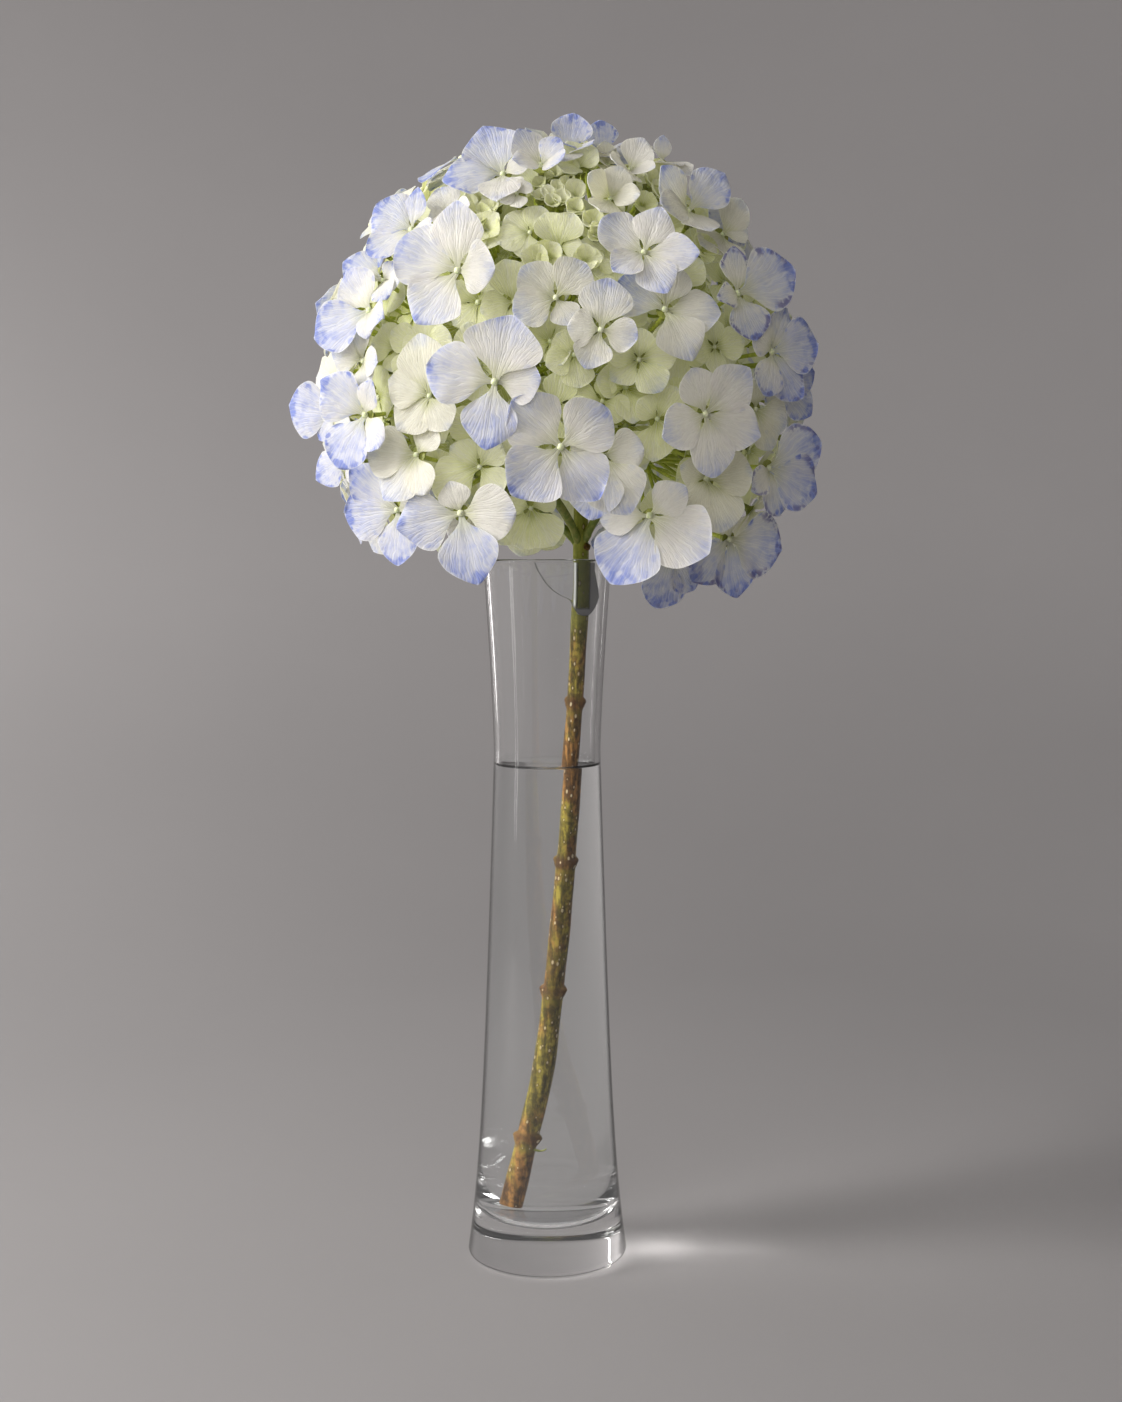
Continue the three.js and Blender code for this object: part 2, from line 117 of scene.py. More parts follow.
# Florets as seen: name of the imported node, middle of the floret, sepal length in millimetres,
# reach from the head's centre, how far its sepals stand up in degrees, how cream and how
# spotted it is from 0 to 1, and its sepals: place of the tip, width, how blue.
SEEN = [
    ("floret_01", (458, 271), 20, 93, 4, .12, 0,
     [(456, 200, .9, .35), (495, 268, 1.4, .3), (415, 323, 1.15, .6), (396, 245, 1.1, .6)]),
    ("floret_02", (495, 382), 21, 94, 2, .08, 0,
     [(426, 367, 1, .6), (513, 315, 1.4, .5), (541, 378, 1.1, .35), (485, 450, 1, .9)]),
    ("floret_03", (561, 447), 21, 95, 2, .08, 0,
     [(512, 399, 1.1, .5), (609, 409, 1.15, .45), (599, 500, 1.1, .7), (511, 495, 1.15, .7)]),
    ("floret_04", (705, 414), 19, 93, 4, .1, 0,
     [(691, 368, .95, .15), (750, 368, .95, .3), (761, 436, .9, .25), (714, 478, .9, .35),
      (662, 436, .95, .3)]),
    ("floret_05", (650, 516), 21, 94, 0, .18, 0,
     [(686, 486, 1, .25), (709, 554, 1.1, .35), (611, 584, 1.15, 1), (600, 520, .8, .2)]),
    ("floret_06", (461, 513), 21, 94, 4, .2, 0,
     [(396, 528, 1, .8), (450, 481, 1, .1), (516, 511, 1.05, .15), (478, 585, 1.05, 1)]),
    ("floret_07", (644, 253), 17, 94, 8, .12, 0,
     [(601, 219, .95, .5), (661, 207, .95, .3), (700, 253, .95, .5), (667, 293, .9, .6),
      (613, 272, .95, .45)]),
    ("floret_08", (556, 298), 16, 88, 4, .35, 0,
     [(521, 267, 1.1, .3), (585, 262, 1.1, .3), (572, 325, 1, .35), (513, 313, 1.1, .45)]),
    ("floret_09", (601, 330), 16, 91, 2, .3, 0,
     [(609, 278, 1.2, .5), (638, 338, 1, .4), (586, 369, 1.05, .35), (567, 327, 1.2, .1)]),
    ("floret_10", (665, 310), 18, 88, 2, .3, 0,
     [(721, 313, 1, .35), (692, 361, 1, .3), (619, 279, 1.25, .8), (672, 262, 1, .3)]),
    ("floret_11", (737, 294), 19, 89, 6, .2, .9,
     [(733, 246, .9, .4), (794, 268, 1.1, .8), (756, 341, 1.1, .7), (718, 298, .7, .3)]),
    ("floret_12", (688, 211), 17, 90, 25, .25, .2,
     [(661, 166, 1, .5), (725, 173, 1, .8), (712, 231, 1, .2), (662, 205, .8, .2)]),
    ("floret_13", (541, 166), 14, 90, 30, .15, .2,
     [(517, 129, 1, .5), (560, 138, .9, .7), (564, 157, .9, .5), (512, 160, .9, .3)]),
    ("floret_14", (503, 175), 17, 88, 10, .12, .2,
     [(483, 126, 1.25, .9), (442, 180, 1, .9), (530, 160, .8, .3), (498, 200, 1, .2)]),
    ("floret_15", (412, 230), 17, 90, 12, .12, .3,
     [(375, 206, 1.2, .9), (418, 187, .6, .8), (430, 232, .8, .4), (366, 253, .9, .7)]),
    ("floret_16", (366, 415), 20, 91, 14, .12, .2,
     [(320, 380, 1.1, .8), (372, 380, .7, .4), (378, 449, .8, .5), (337, 468, 1.1, 1)]),
    ("floret_17", (370, 311), 19, 90, 10, .12, .2,
     [(346, 270, 1.1, .5), (314, 338, 1, 1), (382, 319, .8, .5), (366, 339, .8, .3)]),
    ("floret_18", (364, 361), 16, 88, 16, .3, 0,
     [(348, 326, 1.1, .6), (332, 352, 1, .4), (363, 391, 1, .5), (378, 362, .8, .4)]),
    ("floret_19", (417, 455), 16, 89, 4, .4, 0,
     [(368, 450, 1.1, .1), (383, 500, 1.1, .5), (434, 424, 1.1, .1), (424, 495, .9, .1)]),
    ("floret_20", (430, 396), 14, 86, 4, .5, 0,
     [(420, 333, 1.1, .15), (388, 380, 1.1, .05), (397, 430, 1.1, .05), (448, 430, 1.1, .1)]),
    ("floret_21", (610, 199), 12, 90, 38, .5, 0,
     [(621, 166, 1.1, .1), (640, 195, 1, .05), (600, 212, 1, .05), (588, 175, 1.1, .1)]),
    ("floret_22", (771, 352), 18, 89, 6, .15, .6,
     [(787, 308, .8, .6), (817, 342, 1.1, .9), (800, 400, 1, .9), (765, 396, .9, .5),
      (752, 330, .9, .3)]),
    ("floret_23", (768, 468), 18, 90, 6, .2, .8,
     [(821, 441, 1.1, .9), (817, 494, 1.1, .9), (780, 516, 1, .6), (751, 490, .8, .3)]),
    ("floret_24", (729, 539), 19, 89, 2, .15, 1,
     [(782, 550, 1.2, .8), (738, 598, 1.1, 1), (690, 580, 1, .9), (722, 500, .9, .3)]),
    ("floret_25", (706, 479), 16, 87, 6, .6, 0,
     [(680, 466, 1, .1), (752, 470, 1.1, .1), (724, 532, 1.2, .2), (690, 510, .9, .1)]),
    ("floret_26", (672, 556), 16, 87, 0, .1, .5,
     [(655, 608, 1.1, 1), (695, 590, 1, .8), (650, 545, 1, .3), (690, 540, 1, .3)]),
    ("floret_27", (398, 510), 18, 88, 6, .1, .2,
     [(345, 514, 1.1, .9), (350, 468, 1, .8), (398, 566, 1, .9), (430, 500, 1, .3)]),
    ("floret_49", (480, 467), 13, 82, 4, .75, 0,
     [(450, 446, 1.1, .05), (432, 490, 1.1, 0), (503, 492, 1.1, .1), (500, 440, 1.1, .1)]),
    ("floret_50", (639, 360), 13, 81, 2, .8, 0,
     [(678, 351, 1, .1), (661, 392, 1, .3), (611, 381, 1, .2), (606, 350, 1, 0),
      (640, 328, 1, 0)]),
    ("floret_51", (574, 355), 12, 80, 6, .9, 0,
     [(556, 334, 1.1, 0), (546, 366, 1.1, 0), (580, 388, 1.1, 0), (600, 356, 1.1, 0)]),
    ("floret_52", (657, 419), 13, 81, 6, .9, 0,
     [(677, 387, 1.1, 0), (638, 400, 1, 0), (652, 462, 1.1, .05), (680, 446, 1.1, 0)]),
    ("floret_53", (559, 247), 11, 82, 10, .85, 0,
     [(545, 213, 1.1, 0), (573, 213, 1.1, 0), (583, 247, 1.1, 0), (543, 252, 1.1, 0)]),
    ("floret_54", (514, 302), 12, 80, 6, .8, 0,
     [(505, 259, 1.1, 0), (480, 311, 1.1, 0), (520, 335, 1.1, 0), (540, 290, 1.1, 0)]),
    ("floret_55", (714, 347), 11, 80, 8, .85, 0,
     [(745, 341, 1.1, 0), (716, 375, 1, 0), (690, 350, 1, 0), (712, 318, 1, 0)]),
    ("floret_56", (602, 401), 10, 78, 8, 1, 0,
     [(607, 376, 1, 0), (629, 414, 1.1, 0), (590, 430, 1, 0), (568, 397, 1.1, 0)]),
    # Smaller florets between these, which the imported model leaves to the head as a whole.
    ("extra_01", (384, 281), 14, 88, 12, .2, .3,
     [(343, 262, 1, .8), (395, 262, .9, .6), (401, 275, .8, .4), (385, 300, 1, .5)]),
    ("extra_02", (449, 214), 14, 86, 14, .15, 0,
     [(440, 188, 1.2, .3), (470, 205, 1, .1), (455, 245, 1, .1), (428, 218, 1, .2)]),
    ("extra_03", (396, 349), 11, 80, 10, .8, 0,
     [(384, 324, 1.1, 0), (416, 334, 1.1, 0), (392, 372, 1.1, .1), (371, 346, 1.1, .1)]),
    ("extra_04", (530, 233), 11, 83, 4, .75, 0,
     [(505, 216, 1.2, 0), (541, 206, 1.0, 0), (523, 258, 1.1, 0), (499, 244, 1.1, 0)]),
    ("extra_05", (336, 415), 17, 87, 14, .1, .2,
     [(289, 405, 1.2, 1), (319, 440, 1, .8), (330, 385, 1, .5), (350, 440, .9, .4)]),
    ("extra_06", (345, 455), 12, 84, 8, .1, .2,
     [(316, 480, 1.1, .9), (330, 440, 1, .6), (360, 480, 1, .6), (365, 445, 1, .3)]),
    ("extra_07", (629, 171), 12, 88, 40, .25, 0,
     [(644, 138, 1.15, .15), (655, 168, .9, .1), (626, 180, .9, .05), (613, 160, .9, .05)]),
    ("extra_08", (569, 152), 14, 86, 50, .15, .2,
     [(574, 113, 1.25, 1), (593, 143, .8, .6), (556, 139, .8, 1), (560, 160, .9, .2)]),
    ("extra_09", (601, 154), 12, 84, 55, .2, .3,
     [(600, 120, 1.2, 1), (624, 143, .9, .5), (612, 158, .9, .1), (588, 146, .9, .4)]),
    ("extra_10", (722, 235), 13, 86, 20, .4, 0,
     [(742, 200, 1, .2), (748, 230, 1, .2), (735, 262, 1, .3), (700, 245, 1, .1)]),
    ("extra_11", (778, 384), 14, 85, 10, .2, .3,
     [(815, 372, 1, .9), (812, 415, 1, .9), (775, 420, 1, .4), (750, 380, .9, .2)]),
    ("extra_12", (755, 409), 13, 84, 8, .6, 0,
     [(757, 376, 1.1, .2), (787, 425, 1.1, .3), (772, 450, 1, .2), (735, 430, 1, .1)]),
    ("extra_13", (603, 456), 17, 86, 2, .3, 0,
     [(644, 448, 1.15, .2), (629, 515, 1.15, .3), (590, 520, 1.1, .7), (575, 430, 1, .2)]),
    ("extra_14", (531, 508), 12, 80, -6, .9, 0,
     [(520, 549, 1.1, 0), (554, 546, 1.1, 0), (555, 495, 1, 0), (508, 500, 1, 0)]),
    ("extra_15", (523, 452), 10, 79, 4, .9, 0,
     [(507, 470, 1.1, 0), (500, 440, 1.1, 0), (535, 430, 1, 0), (545, 470, 1, 0)]),
    ("extra_16", (597, 272), 9, 80, 14, .85, 0,
     [(590, 250, 1.1, 0), (612, 262, 1.1, 0), (606, 292, 1.1, 0), (582, 284, 1.1, 0)]),
    ("extra_17", (603, 247), 11, 79, 12, .85, 0,
     [(593, 215, 1.2, 0), (585, 262, 1.0, 0), (604, 272, 1.0, 0), (622, 250, 1.0, 0)]),
    ("extra_21", (578, 168), 11, 85, 40, .8, 0,
     [(567, 141, 1.1, .05), (584, 146, .8, 0), (598, 150, 1.0, 0), (562, 170, .9, 0)]),
    ("extra_22", (608, 166), 10, 84, 42, .6, 0,
     [(604, 141, 1.1, .1), (618, 152, 1.0, 0), (594, 158, .9, 0), (612, 172, .9, 0)]),
    ("extra_23", (517, 194), 9, 88, 6, .2, 0,
     [(507, 178, 1.3, .1), (531, 184, 1.2, .1), (520, 208, .9, 0), (500, 202, .9, 0)]),
    ("extra_24", (662, 163), 11, 86, 40, .2, .1,
     [(663, 135, .8, .5), (652, 150, .7, .2), (676, 164, 1.1, .1), (690, 176, 1.0, .1)]),
    ("extra_18", (706, 242), 10, 80, 16, .9, 0,
     [(690, 226, 1.1, 0), (722, 232, 1.1, 0), (712, 262, 1.1, 0), (694, 256, 1.1, 0)]),
    ("extra_19", (480, 232), 11, 83, 10, .7, 0,
     [(468, 208, 1.1, .1), (496, 214, 1.1, 0), (500, 244, 1.1, 0), (470, 250, 1.1, 0)]),
    ("extra_20", (425, 345), 12, 82, 6, .75, 0,
     [(424, 318, 1.1, .1), (452, 340, 1.1, 0), (430, 372, 1.1, 0), (402, 352, 1.1, 0)]),
]

# Florets that lean more than their place on the ball gives, and which way.
LEANS = {
    "floret_05": (-.75, -.2, .55), "floret_07": (-.3, -.1, .2), "floret_50": (-.35, 0, .2),
    "floret_19": (-.2, -.2, .3), "floret_25": (-.3, 0, .2), "extra_13": (-.4, 0, .3),
    "floret_10": (-.3, 0, .2), "floret_09": (-.2, 0, .1)}

FORK_WINDOW = (556, 604, 522)        # left, right and top of the gap that shows the fork

# Small cupped florets crowded at the head's top, as seen: middle, sepal length in millimetres,
# how far their sepals stand up in degrees and how cream they are.
BUDS_SEEN = [
    (548, 198, 4.8, 55, .6), (557, 192, 4.2, 58, .8), (565, 189, 4.8, 60, 1.0),
    (575, 197, 6.0, 50, .7), (561, 204, 4.8, 50, .8), (552, 206, 4.2, 50, .9),
    (541, 200, 4.2, 50, .9), (555, 176, 5.5, 45, .8), (567, 175, 5.5, 48, .9),
    (547, 182, 4.5, 50, 1.2), (540, 187, 4.5, 50, 1.1), (583, 168, 5.0, 45, .9),
    (585, 154, 5.0, 45, .8), (497, 206, 6.0, 40, .8), (488, 214, 5.5, 45, 1.0),
    (482, 202, 6.0, 35, .7), (478, 221, 6.5, 40, 1.2), (487, 231, 7.0, 30, 1.0),
    (470, 210, 6.0, 35, .7), (648, 187, 6.5, 40, 1.1), (631, 181, 6.0, 42, 1.0),
    (657, 197, 6.5, 35, .9), (641, 207, 6.0, 40, 1.2), (604, 214, 5.0, 45, .9),
    (614, 212, 5.0, 45, .9), (664, 229, 7.0, 35, 1.2), (550, 258, 6.5, 30, .9),
    (584, 262, 6.0, 35, .9), (592, 226, 5.5, 40, 1.2), (455, 236, 7.0, 30, .9),
    (596, 236, 5.0, 40, 1.1), (655, 175, 6.0, 40, 1.2), (690, 222, 7.0, 35, 1.2),
    (536, 262, 6.0, 35, 1.0), (700, 252, 6.5, 30, 1.2), (574, 212, 5.0, 45, 1.0)]
BUD_REACH, BUD_CURL = 83, 0.7

# ---- Sepals

# Half of a sepal's outline from its claw to its tip: place along it, then half its width if it
# is round and if it is pointed, all as shares of its length.
OUTLINE = np.array([
    [0, .035, .035], [.08, .045, .045], [.16, .08, .08], [.24, .19, .19], [.32, .31, .32],
    [.42, .405, .42], [.52, .455, .465], [.62, .47, .43], [.72, .445, .35], [.82, .37, .24],
    [.90, .265, .14], [.96, .15, .065], [1, .03, .012]])
SEPAL_THICKNESS = 0.16
SEPAL_LEVELS = [0, .45, .1, .55, .3]   # every second sepal lies over its neighbours
CLAW = 0.03                  # where a sepal starts, as a share of its length
SCALLOP, FINE_SCALLOP = .016, .010       # waves of its outline, as shares of its width
ARCH, CUP, ROLL = (-.03, .06), (-.15, .3), (-.02, .05)     # how it bends: least and most
RUFFLE = (.015, .045)        # the waves of its edge: least and most, as shares of its length
GROOVE, RIB = .010, .0012    # depth of its middle groove and height of its ribs, likewise
PUCKER = 0.0032              # height of its soft dents, likewise
FINE, MIDDLING, COARSE = (20, 24), (12, 14), (8, 10)     # cells across and along a sepal
CREAM_FROM = 0.65            # florets more cream than this are made of the cream sepal
FLORET_SHARP = 40            # edges sharper than this, in degrees, stay sharp

# ---- Small helpers


def unit(v):
    v = np.asarray(v, float)
    return v / np.linalg.norm(v)


def smooth_through(table, x):
    """A smooth curve through a table of (x, y) points."""
    xs, ys = table[:, 0], table[:, 1]
    slopes = np.gradient(ys, xs)
    i = np.clip(np.searchsorted(xs, x) - 1, 0, len(xs) - 2)
    h = xs[i + 1] - xs[i]
    t = (x - xs[i]) / h
    return ((1 + 2 * t) * (1 - t) ** 2 * ys[i] + t * (1 - t) ** 2 * h * slopes[i]
            + t ** 2 * (3 - 2 * t) * ys[i + 1] + t ** 2 * (t - 1) * h * slopes[i + 1])


def line_through(points, count):
    """count points of a smooth line through the given points."""
    steps = np.linalg.norm(np.diff(points, axis=0), axis=1)
    along = np.concatenate([[0], np.cumsum(steps)])
    wanted = np.linspace(0, along[-1], count)
    return np.stack([smooth_through(np.stack([along, points[:, k]], 1), wanted)
                     for k in range(3)], 1)


def bezier(start, bend, end, count):
    t = np.linspace(0, 1, count)[:, None]
    return (1 - t) ** 2 * start + 2 * t * (1 - t) * bend + t ** 2 * end


def sight(px, py):
    """The direction from the eye through a pixel."""
    across, up = px - PICTURE_WIDTH / 2, PICTURE_HEIGHT / 2 - py
    return unit([across, FOCAL * math.cos(PITCH) + up * math.sin(PITCH),
                 up * math.cos(PITCH) - FOCAL * math.sin(PITCH)])


def seen_direction(px, py, reach):
    """The direction from the head's centre of what is seen at a pixel on a ball of that reach."""
    look = sight(px, py)
    to_centre = HEAD_CENTRE - EYE
    nearest = look @ to_centre
    miss = to_centre @ to_centre - nearest ** 2
    into = math.sqrt(max(reach ** 2 - miss, 0))
    return unit(look * (nearest - into) - to_centre)


def direction(azimuth, elevation):
    az, el = math.radians(azimuth), math.radians(elevation)
    return np.array([math.cos(az) * math.cos(el), math.sin(az) * math.cos(el), math.sin(el)])


def add_to_scene(name, data):
    thing = bpy.data.objects.new(name, data)
    bpy.context.scene.collection.objects.link(thing)
    return thing


class Shape:
    """A piece that is being built: its points, faces and what its material paints by."""

    def __init__(self):
        self.points, self.faces, self.finish, self.place, self.paint = [], [], [], [], []

    def add(self, points, faces, finish=0, place=None, paint=(0, 0, 0)):
        start = len(self.points)
        self.points += [tuple(p) for p in points]
        self.faces += [tuple(start + i for i in face) for face in faces]
        self.finish += [finish] * len(faces)
        self.place += [tuple(p) for p in (np.zeros((len(points), 3)) if place is None else place)]
        self.paint += [tuple(p) for p in np.broadcast_to(paint, (len(points), 3))]

    def make(self, name, materials, slot, replaces=(), sharp=None):
        mesh = bpy.data.meshes.new(name)
        mesh.from_pydata((np.array(self.points) * MM).tolist(), [], self.faces)
        for attribute, values in (("place", self.place), ("paint", self.paint)):
            data = mesh.attributes.new(attribute, "FLOAT_VECTOR", "POINT").data
            data.foreach_set("vector", np.array(values, np.float32).ravel())
        for material in materials:
            mesh.materials.append(material)
        mesh.polygons.foreach_set("material_index", self.finish)
        mesh.polygons.foreach_set("use_smooth", [True] * len(self.faces))
        if sharp is not None:
            mesh.set_sharp_from_angle(angle=math.radians(sharp))
        mesh.update()
        piece = add_to_scene(name, mesh)
        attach(piece, "root")
        if replaces:
            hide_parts(*replaces)


def ring_faces(rings, sides, closed_ends=True):
    faces = [(r * sides + i, r * sides + (i + 1) % sides,
              (r + 1) * sides + (i + 1) % sides, (r + 1) * sides + i)
             for r in range(rings - 1) for i in range(sides)]
    if closed_ends:
        faces.append(tuple(reversed(range(sides))))
        faces.append(tuple((rings - 1) * sides + i for i in range(sides)))
    return faces


def line_frames(line):
    """The direction of a line and two directions square to it, at each of its points."""
    along = np.gradient(line, axis=0)
    along /= np.linalg.norm(along, axis=1)[:, None]
    across = [unit(np.cross(along[0], [0.31, 0.86, 0.12]))]
    for step in along[1:]:
        turned = across[-1] - step * (step @ across[-1])
        across.append(unit(turned))
    across = np.array(across)
    return along, across, np.cross(along, across)


def tube(shape, line, radii, sides, finish=0, swell=None):
    """A round bar along a line. swell gives a factor on the radius at each ring and angle."""
    _, across, beside = line_frames(line)
    angles = np.arange(sides) * 2 * math.pi / sides
    factor = np.ones((len(line), sides)) if swell is None else swell(angles)
    spread = (np.cos(angles)[None, :, None] * across[:, None]
              + np.sin(angles)[None, :, None] * beside[:, None])
    radii = np.broadcast_to(radii, len(line))[:, None] * factor
    points = line[:, None] + spread * radii[..., None]
    shape.add(points.reshape(-1, 3), ring_faces(len(line), sides), finish)


# ---- Materials


class Nodes:
    """Short calls for making and linking the nodes of a tree."""

    def __init__(self, tree):
        self.tree = tree

    def new(self, kind, settings=None, **inputs):
        """A node with its settings and inputs. An input's name has _ for each space, and i2
        stands for the third input."""
        node = self.tree.nodes.new(f"ShaderNode{kind}")
        for key, value in (settings or {}).items():
            setattr(node, key, value)
        for key, value in inputs.items():
            numbered = key[0] == "i" and key[1:].isdigit()
            socket = node.inputs[int(key[1:]) if numbered else key.replace("_", " ")]
            if isinstance(value, bpy.types.NodeSocket):
                self.tree.links.new(value, socket)
            else:
                socket.default_value = value
        return node

    def math(self, operation, a, b=0.0, c=0.0, clamp=False):
        settings = {"operation": operation, "use_clamp": clamp}
        return self.new("Math", settings, i0=a, i1=b, i2=c).outputs[0]

    def times(self, a, b, clamp=False):
        return self.math("MULTIPLY", a, b, clamp=clamp)

    def plus(self, a, b, clamp=False):
        return self.math("ADD", a, b, clamp=clamp)

    def minus(self, a, b, clamp=False):
        return self.math("SUBTRACT", a, b, clamp=clamp)

    def larger(self, a, b):
        return self.math("MAXIMUM", a, b)

    def size(self, a):
        return self.math("ABSOLUTE", a)

    def line(self, a, slope, start, clamp=False):
        return self.math("MULTIPLY_ADD", a, slope, start, clamp)

    def ramp(self, value, low, high, out_low=0.0, out_high=1.0):
        """value carried smoothly from low..high to out_low..out_high, and held outside them."""
        return self.new("MapRange", {"interpolation_type": "SMOOTHSTEP"}, Value=value,
                        From_Min=low, From_Max=high, To_Min=out_low, To_Max=out_high).outputs[0]

    def mix(self, factor, a, b, blend="MIX"):
        settings = {"data_type": "RGBA", "blend_type": blend}
        return self.new("Mix", settings, i0=factor, i6=a, i7=b).outputs[2]

    def mix_shaders(self, factor, a, b):
        return self.new("MixShader", Fac=factor, i1=a.outputs[0], i2=b.outputs[0])

    def noise(self, vector, scale, detail=2.0, roughness=0.5):
        return self.new("TexNoise", Vector=vector, Scale=scale, Detail=detail,
                        Roughness=roughness).outputs[0]

    def cells(self, vector, scale, **settings):
        """Round cells: how far a point is from its cell's middle, and a colour for each cell."""
        return self.new("TexVoronoi", {"feature": "F1", **settings}, Vector=vector,
                        Scale=scale).outputs

    def bump(self, height, strength, distance):
        return self.new("Bump", Height=height, Strength=strength, Distance=distance).outputs[0]

    def split(self, vector):
        return self.new("SeparateXYZ", Vector=vector).outputs

    def join(self, x, y, z=0.0):
        return self.new("CombineXYZ", X=x, Y=y, Z=z).outputs[0]

    def attribute(self, name):
        return self.new("Attribute", {"attribute_name": name}).outputs["Vector"]

    def own_place(self):
        return self.new("TexCoord").outputs["Object"]

    def finish(self, shader):
        self.new("OutputMaterial", Surface=shader.outputs[0])


def new_group(name, inputs, outputs):
    """An empty node group with its named inputs and outputs."""
    group = bpy.data.node_groups.new(name, "ShaderNodeTree")
    for way, sockets in (("INPUT", inputs), ("OUTPUT", outputs)):
        for label, kind, *start in sockets:
            socket = group.interface.new_socket(
                label, in_out=way, socket_type=f"NodeSocket{kind}")
            if start:
                socket.default_value = start[0]
    return group, Nodes(group), group.nodes.new("NodeGroupInput").outputs


def close_group(group, **results):
    sink = group.nodes.new("NodeGroupOutput")
    for label, value in results.items():
        group.links.new(value, sink.inputs[label])
    return group


def new_material(name):
    material = bpy.data.materials.new(name)
    material.use_nodes = True
    material.node_tree.nodes.clear()
    return material, Nodes(material.node_tree)


def colour(red, green, blue):
    return (red, green, blue, 1.0)


PALE_BLUE = colour(.52, .58, .88)
DEEP_BLUE = colour(.34, .41, .79)
PLUM = colour(.28, .27, .52)
THIN_SPOT_GREY = colour(.60, .60, .57)
VEIN_WHITE = colour(.97, .96, .95)
RIM_HIGHLIGHT_WHITE = colour(.95, .95, .96)
THROUGH_YELLOW = colour(.91, .93, .38)       # what light turns when it shines through a sepal
MAIN_VEINS, FINE_VEINS = 7, 17               # how many fan out over a unit of the fan
VEIN_SWAY = 2.2
DOT_CELLS, SPOT_CELLS = 6.0, 9               # cells to a sepal's length for its dots and spots


def vein_lines(n, fan, sway, count):
    """Thin lines that fan out from the claw, that many to a unit of the fan."""
    along_fan = n.plus(n.times(fan, count), n.times(sway, VEIN_SWAY))
    off = n.size(n.minus(n.math("FRACT", along_fan), .5))
    return n.ramp(off, .0, .16, 1.0, .0)


def blue_wash(n, fan, along, beside, margin, seed, blue, spots, patches, blotches):
    """How blue a sepal is: a patchy wash towards its tip, blotches and dots along its edge, and
    its tip itself."""
    streaks = n.noise(n.join(n.times(fan, 13), n.times(along, 1.3), seed), 1.0, 3.0, .6)
    from_tip = n.math("SQRT", n.plus(n.math("POWER", n.minus(1.0, along), 2.0),
                                     n.math("POWER", n.size(beside), 2.0)))
    ragged = n.plus(n.line(patches, .5, -.25), n.line(streaks, .16, -.08))
    reach = n.line(blue, 1.2, .14)
    wash = n.ramp(n.plus(from_tip, ragged), n.times(reach, .05), reach, 1.0, .0)
    body = n.times(wash, n.plus(n.ramp(streaks, .30, .70, .46, .58),
                                n.ramp(blotches, .38, .62, .0, .22)))
    body = n.times(body, n.line(blue, .7, .38))
    marks = n.times(n.ramp(blotches, .50, .60), n.times(margin, blue))
    cells = n.cells(n.join(beside, along, seed), DOT_CELLS)
    dots = n.times(n.ramp(cells["Distance"], .26, .44, 1.0, .0),
                   n.ramp(n.split(cells["Color"])[0], .50, .54))
    dots = n.times(n.times(dots, margin), n.ramp(blue, .1, .4))
    marks = n.times(n.line(dots, .62, n.times(marks, .45)), n.line(spots, 2.2, .42, clamp=True))
    tip = n.times(n.ramp(from_tip, .02, .22, 1.0, .0), n.times(blue, 1.2, clamp=True))
    return n.plus(n.plus(body, marks), n.times(tip, .4), clamp=True)


def plum_spots(n, fan, along, edge, seed, spots, patches, blotches):
    """Round dark spots near a spotted sepal's edge, and here and there a dark band along it."""
    near_tip = n.ramp(along, .4, .6)
    cells = n.cells(n.join(n.times(fan, SPOT_CELLS), n.times(along, SPOT_CELLS), seed), 1.0)[0]
    spot = n.times(n.ramp(cells, .30, .42, 1.0, .0),
                   n.larger(n.ramp(edge, .62, .86), n.ramp(along, .8, .95)))
    spot = n.times(spot, n.times(spots, near_tip))
    band = n.times(n.ramp(edge, .68, .84), n.ramp(patches, .47, .52))
    band = n.times(band, n.times(n.ramp(blotches, .38, .46), near_tip))
    return n.larger(spot, n.times(band, n.ramp(spots, .5, .9)))


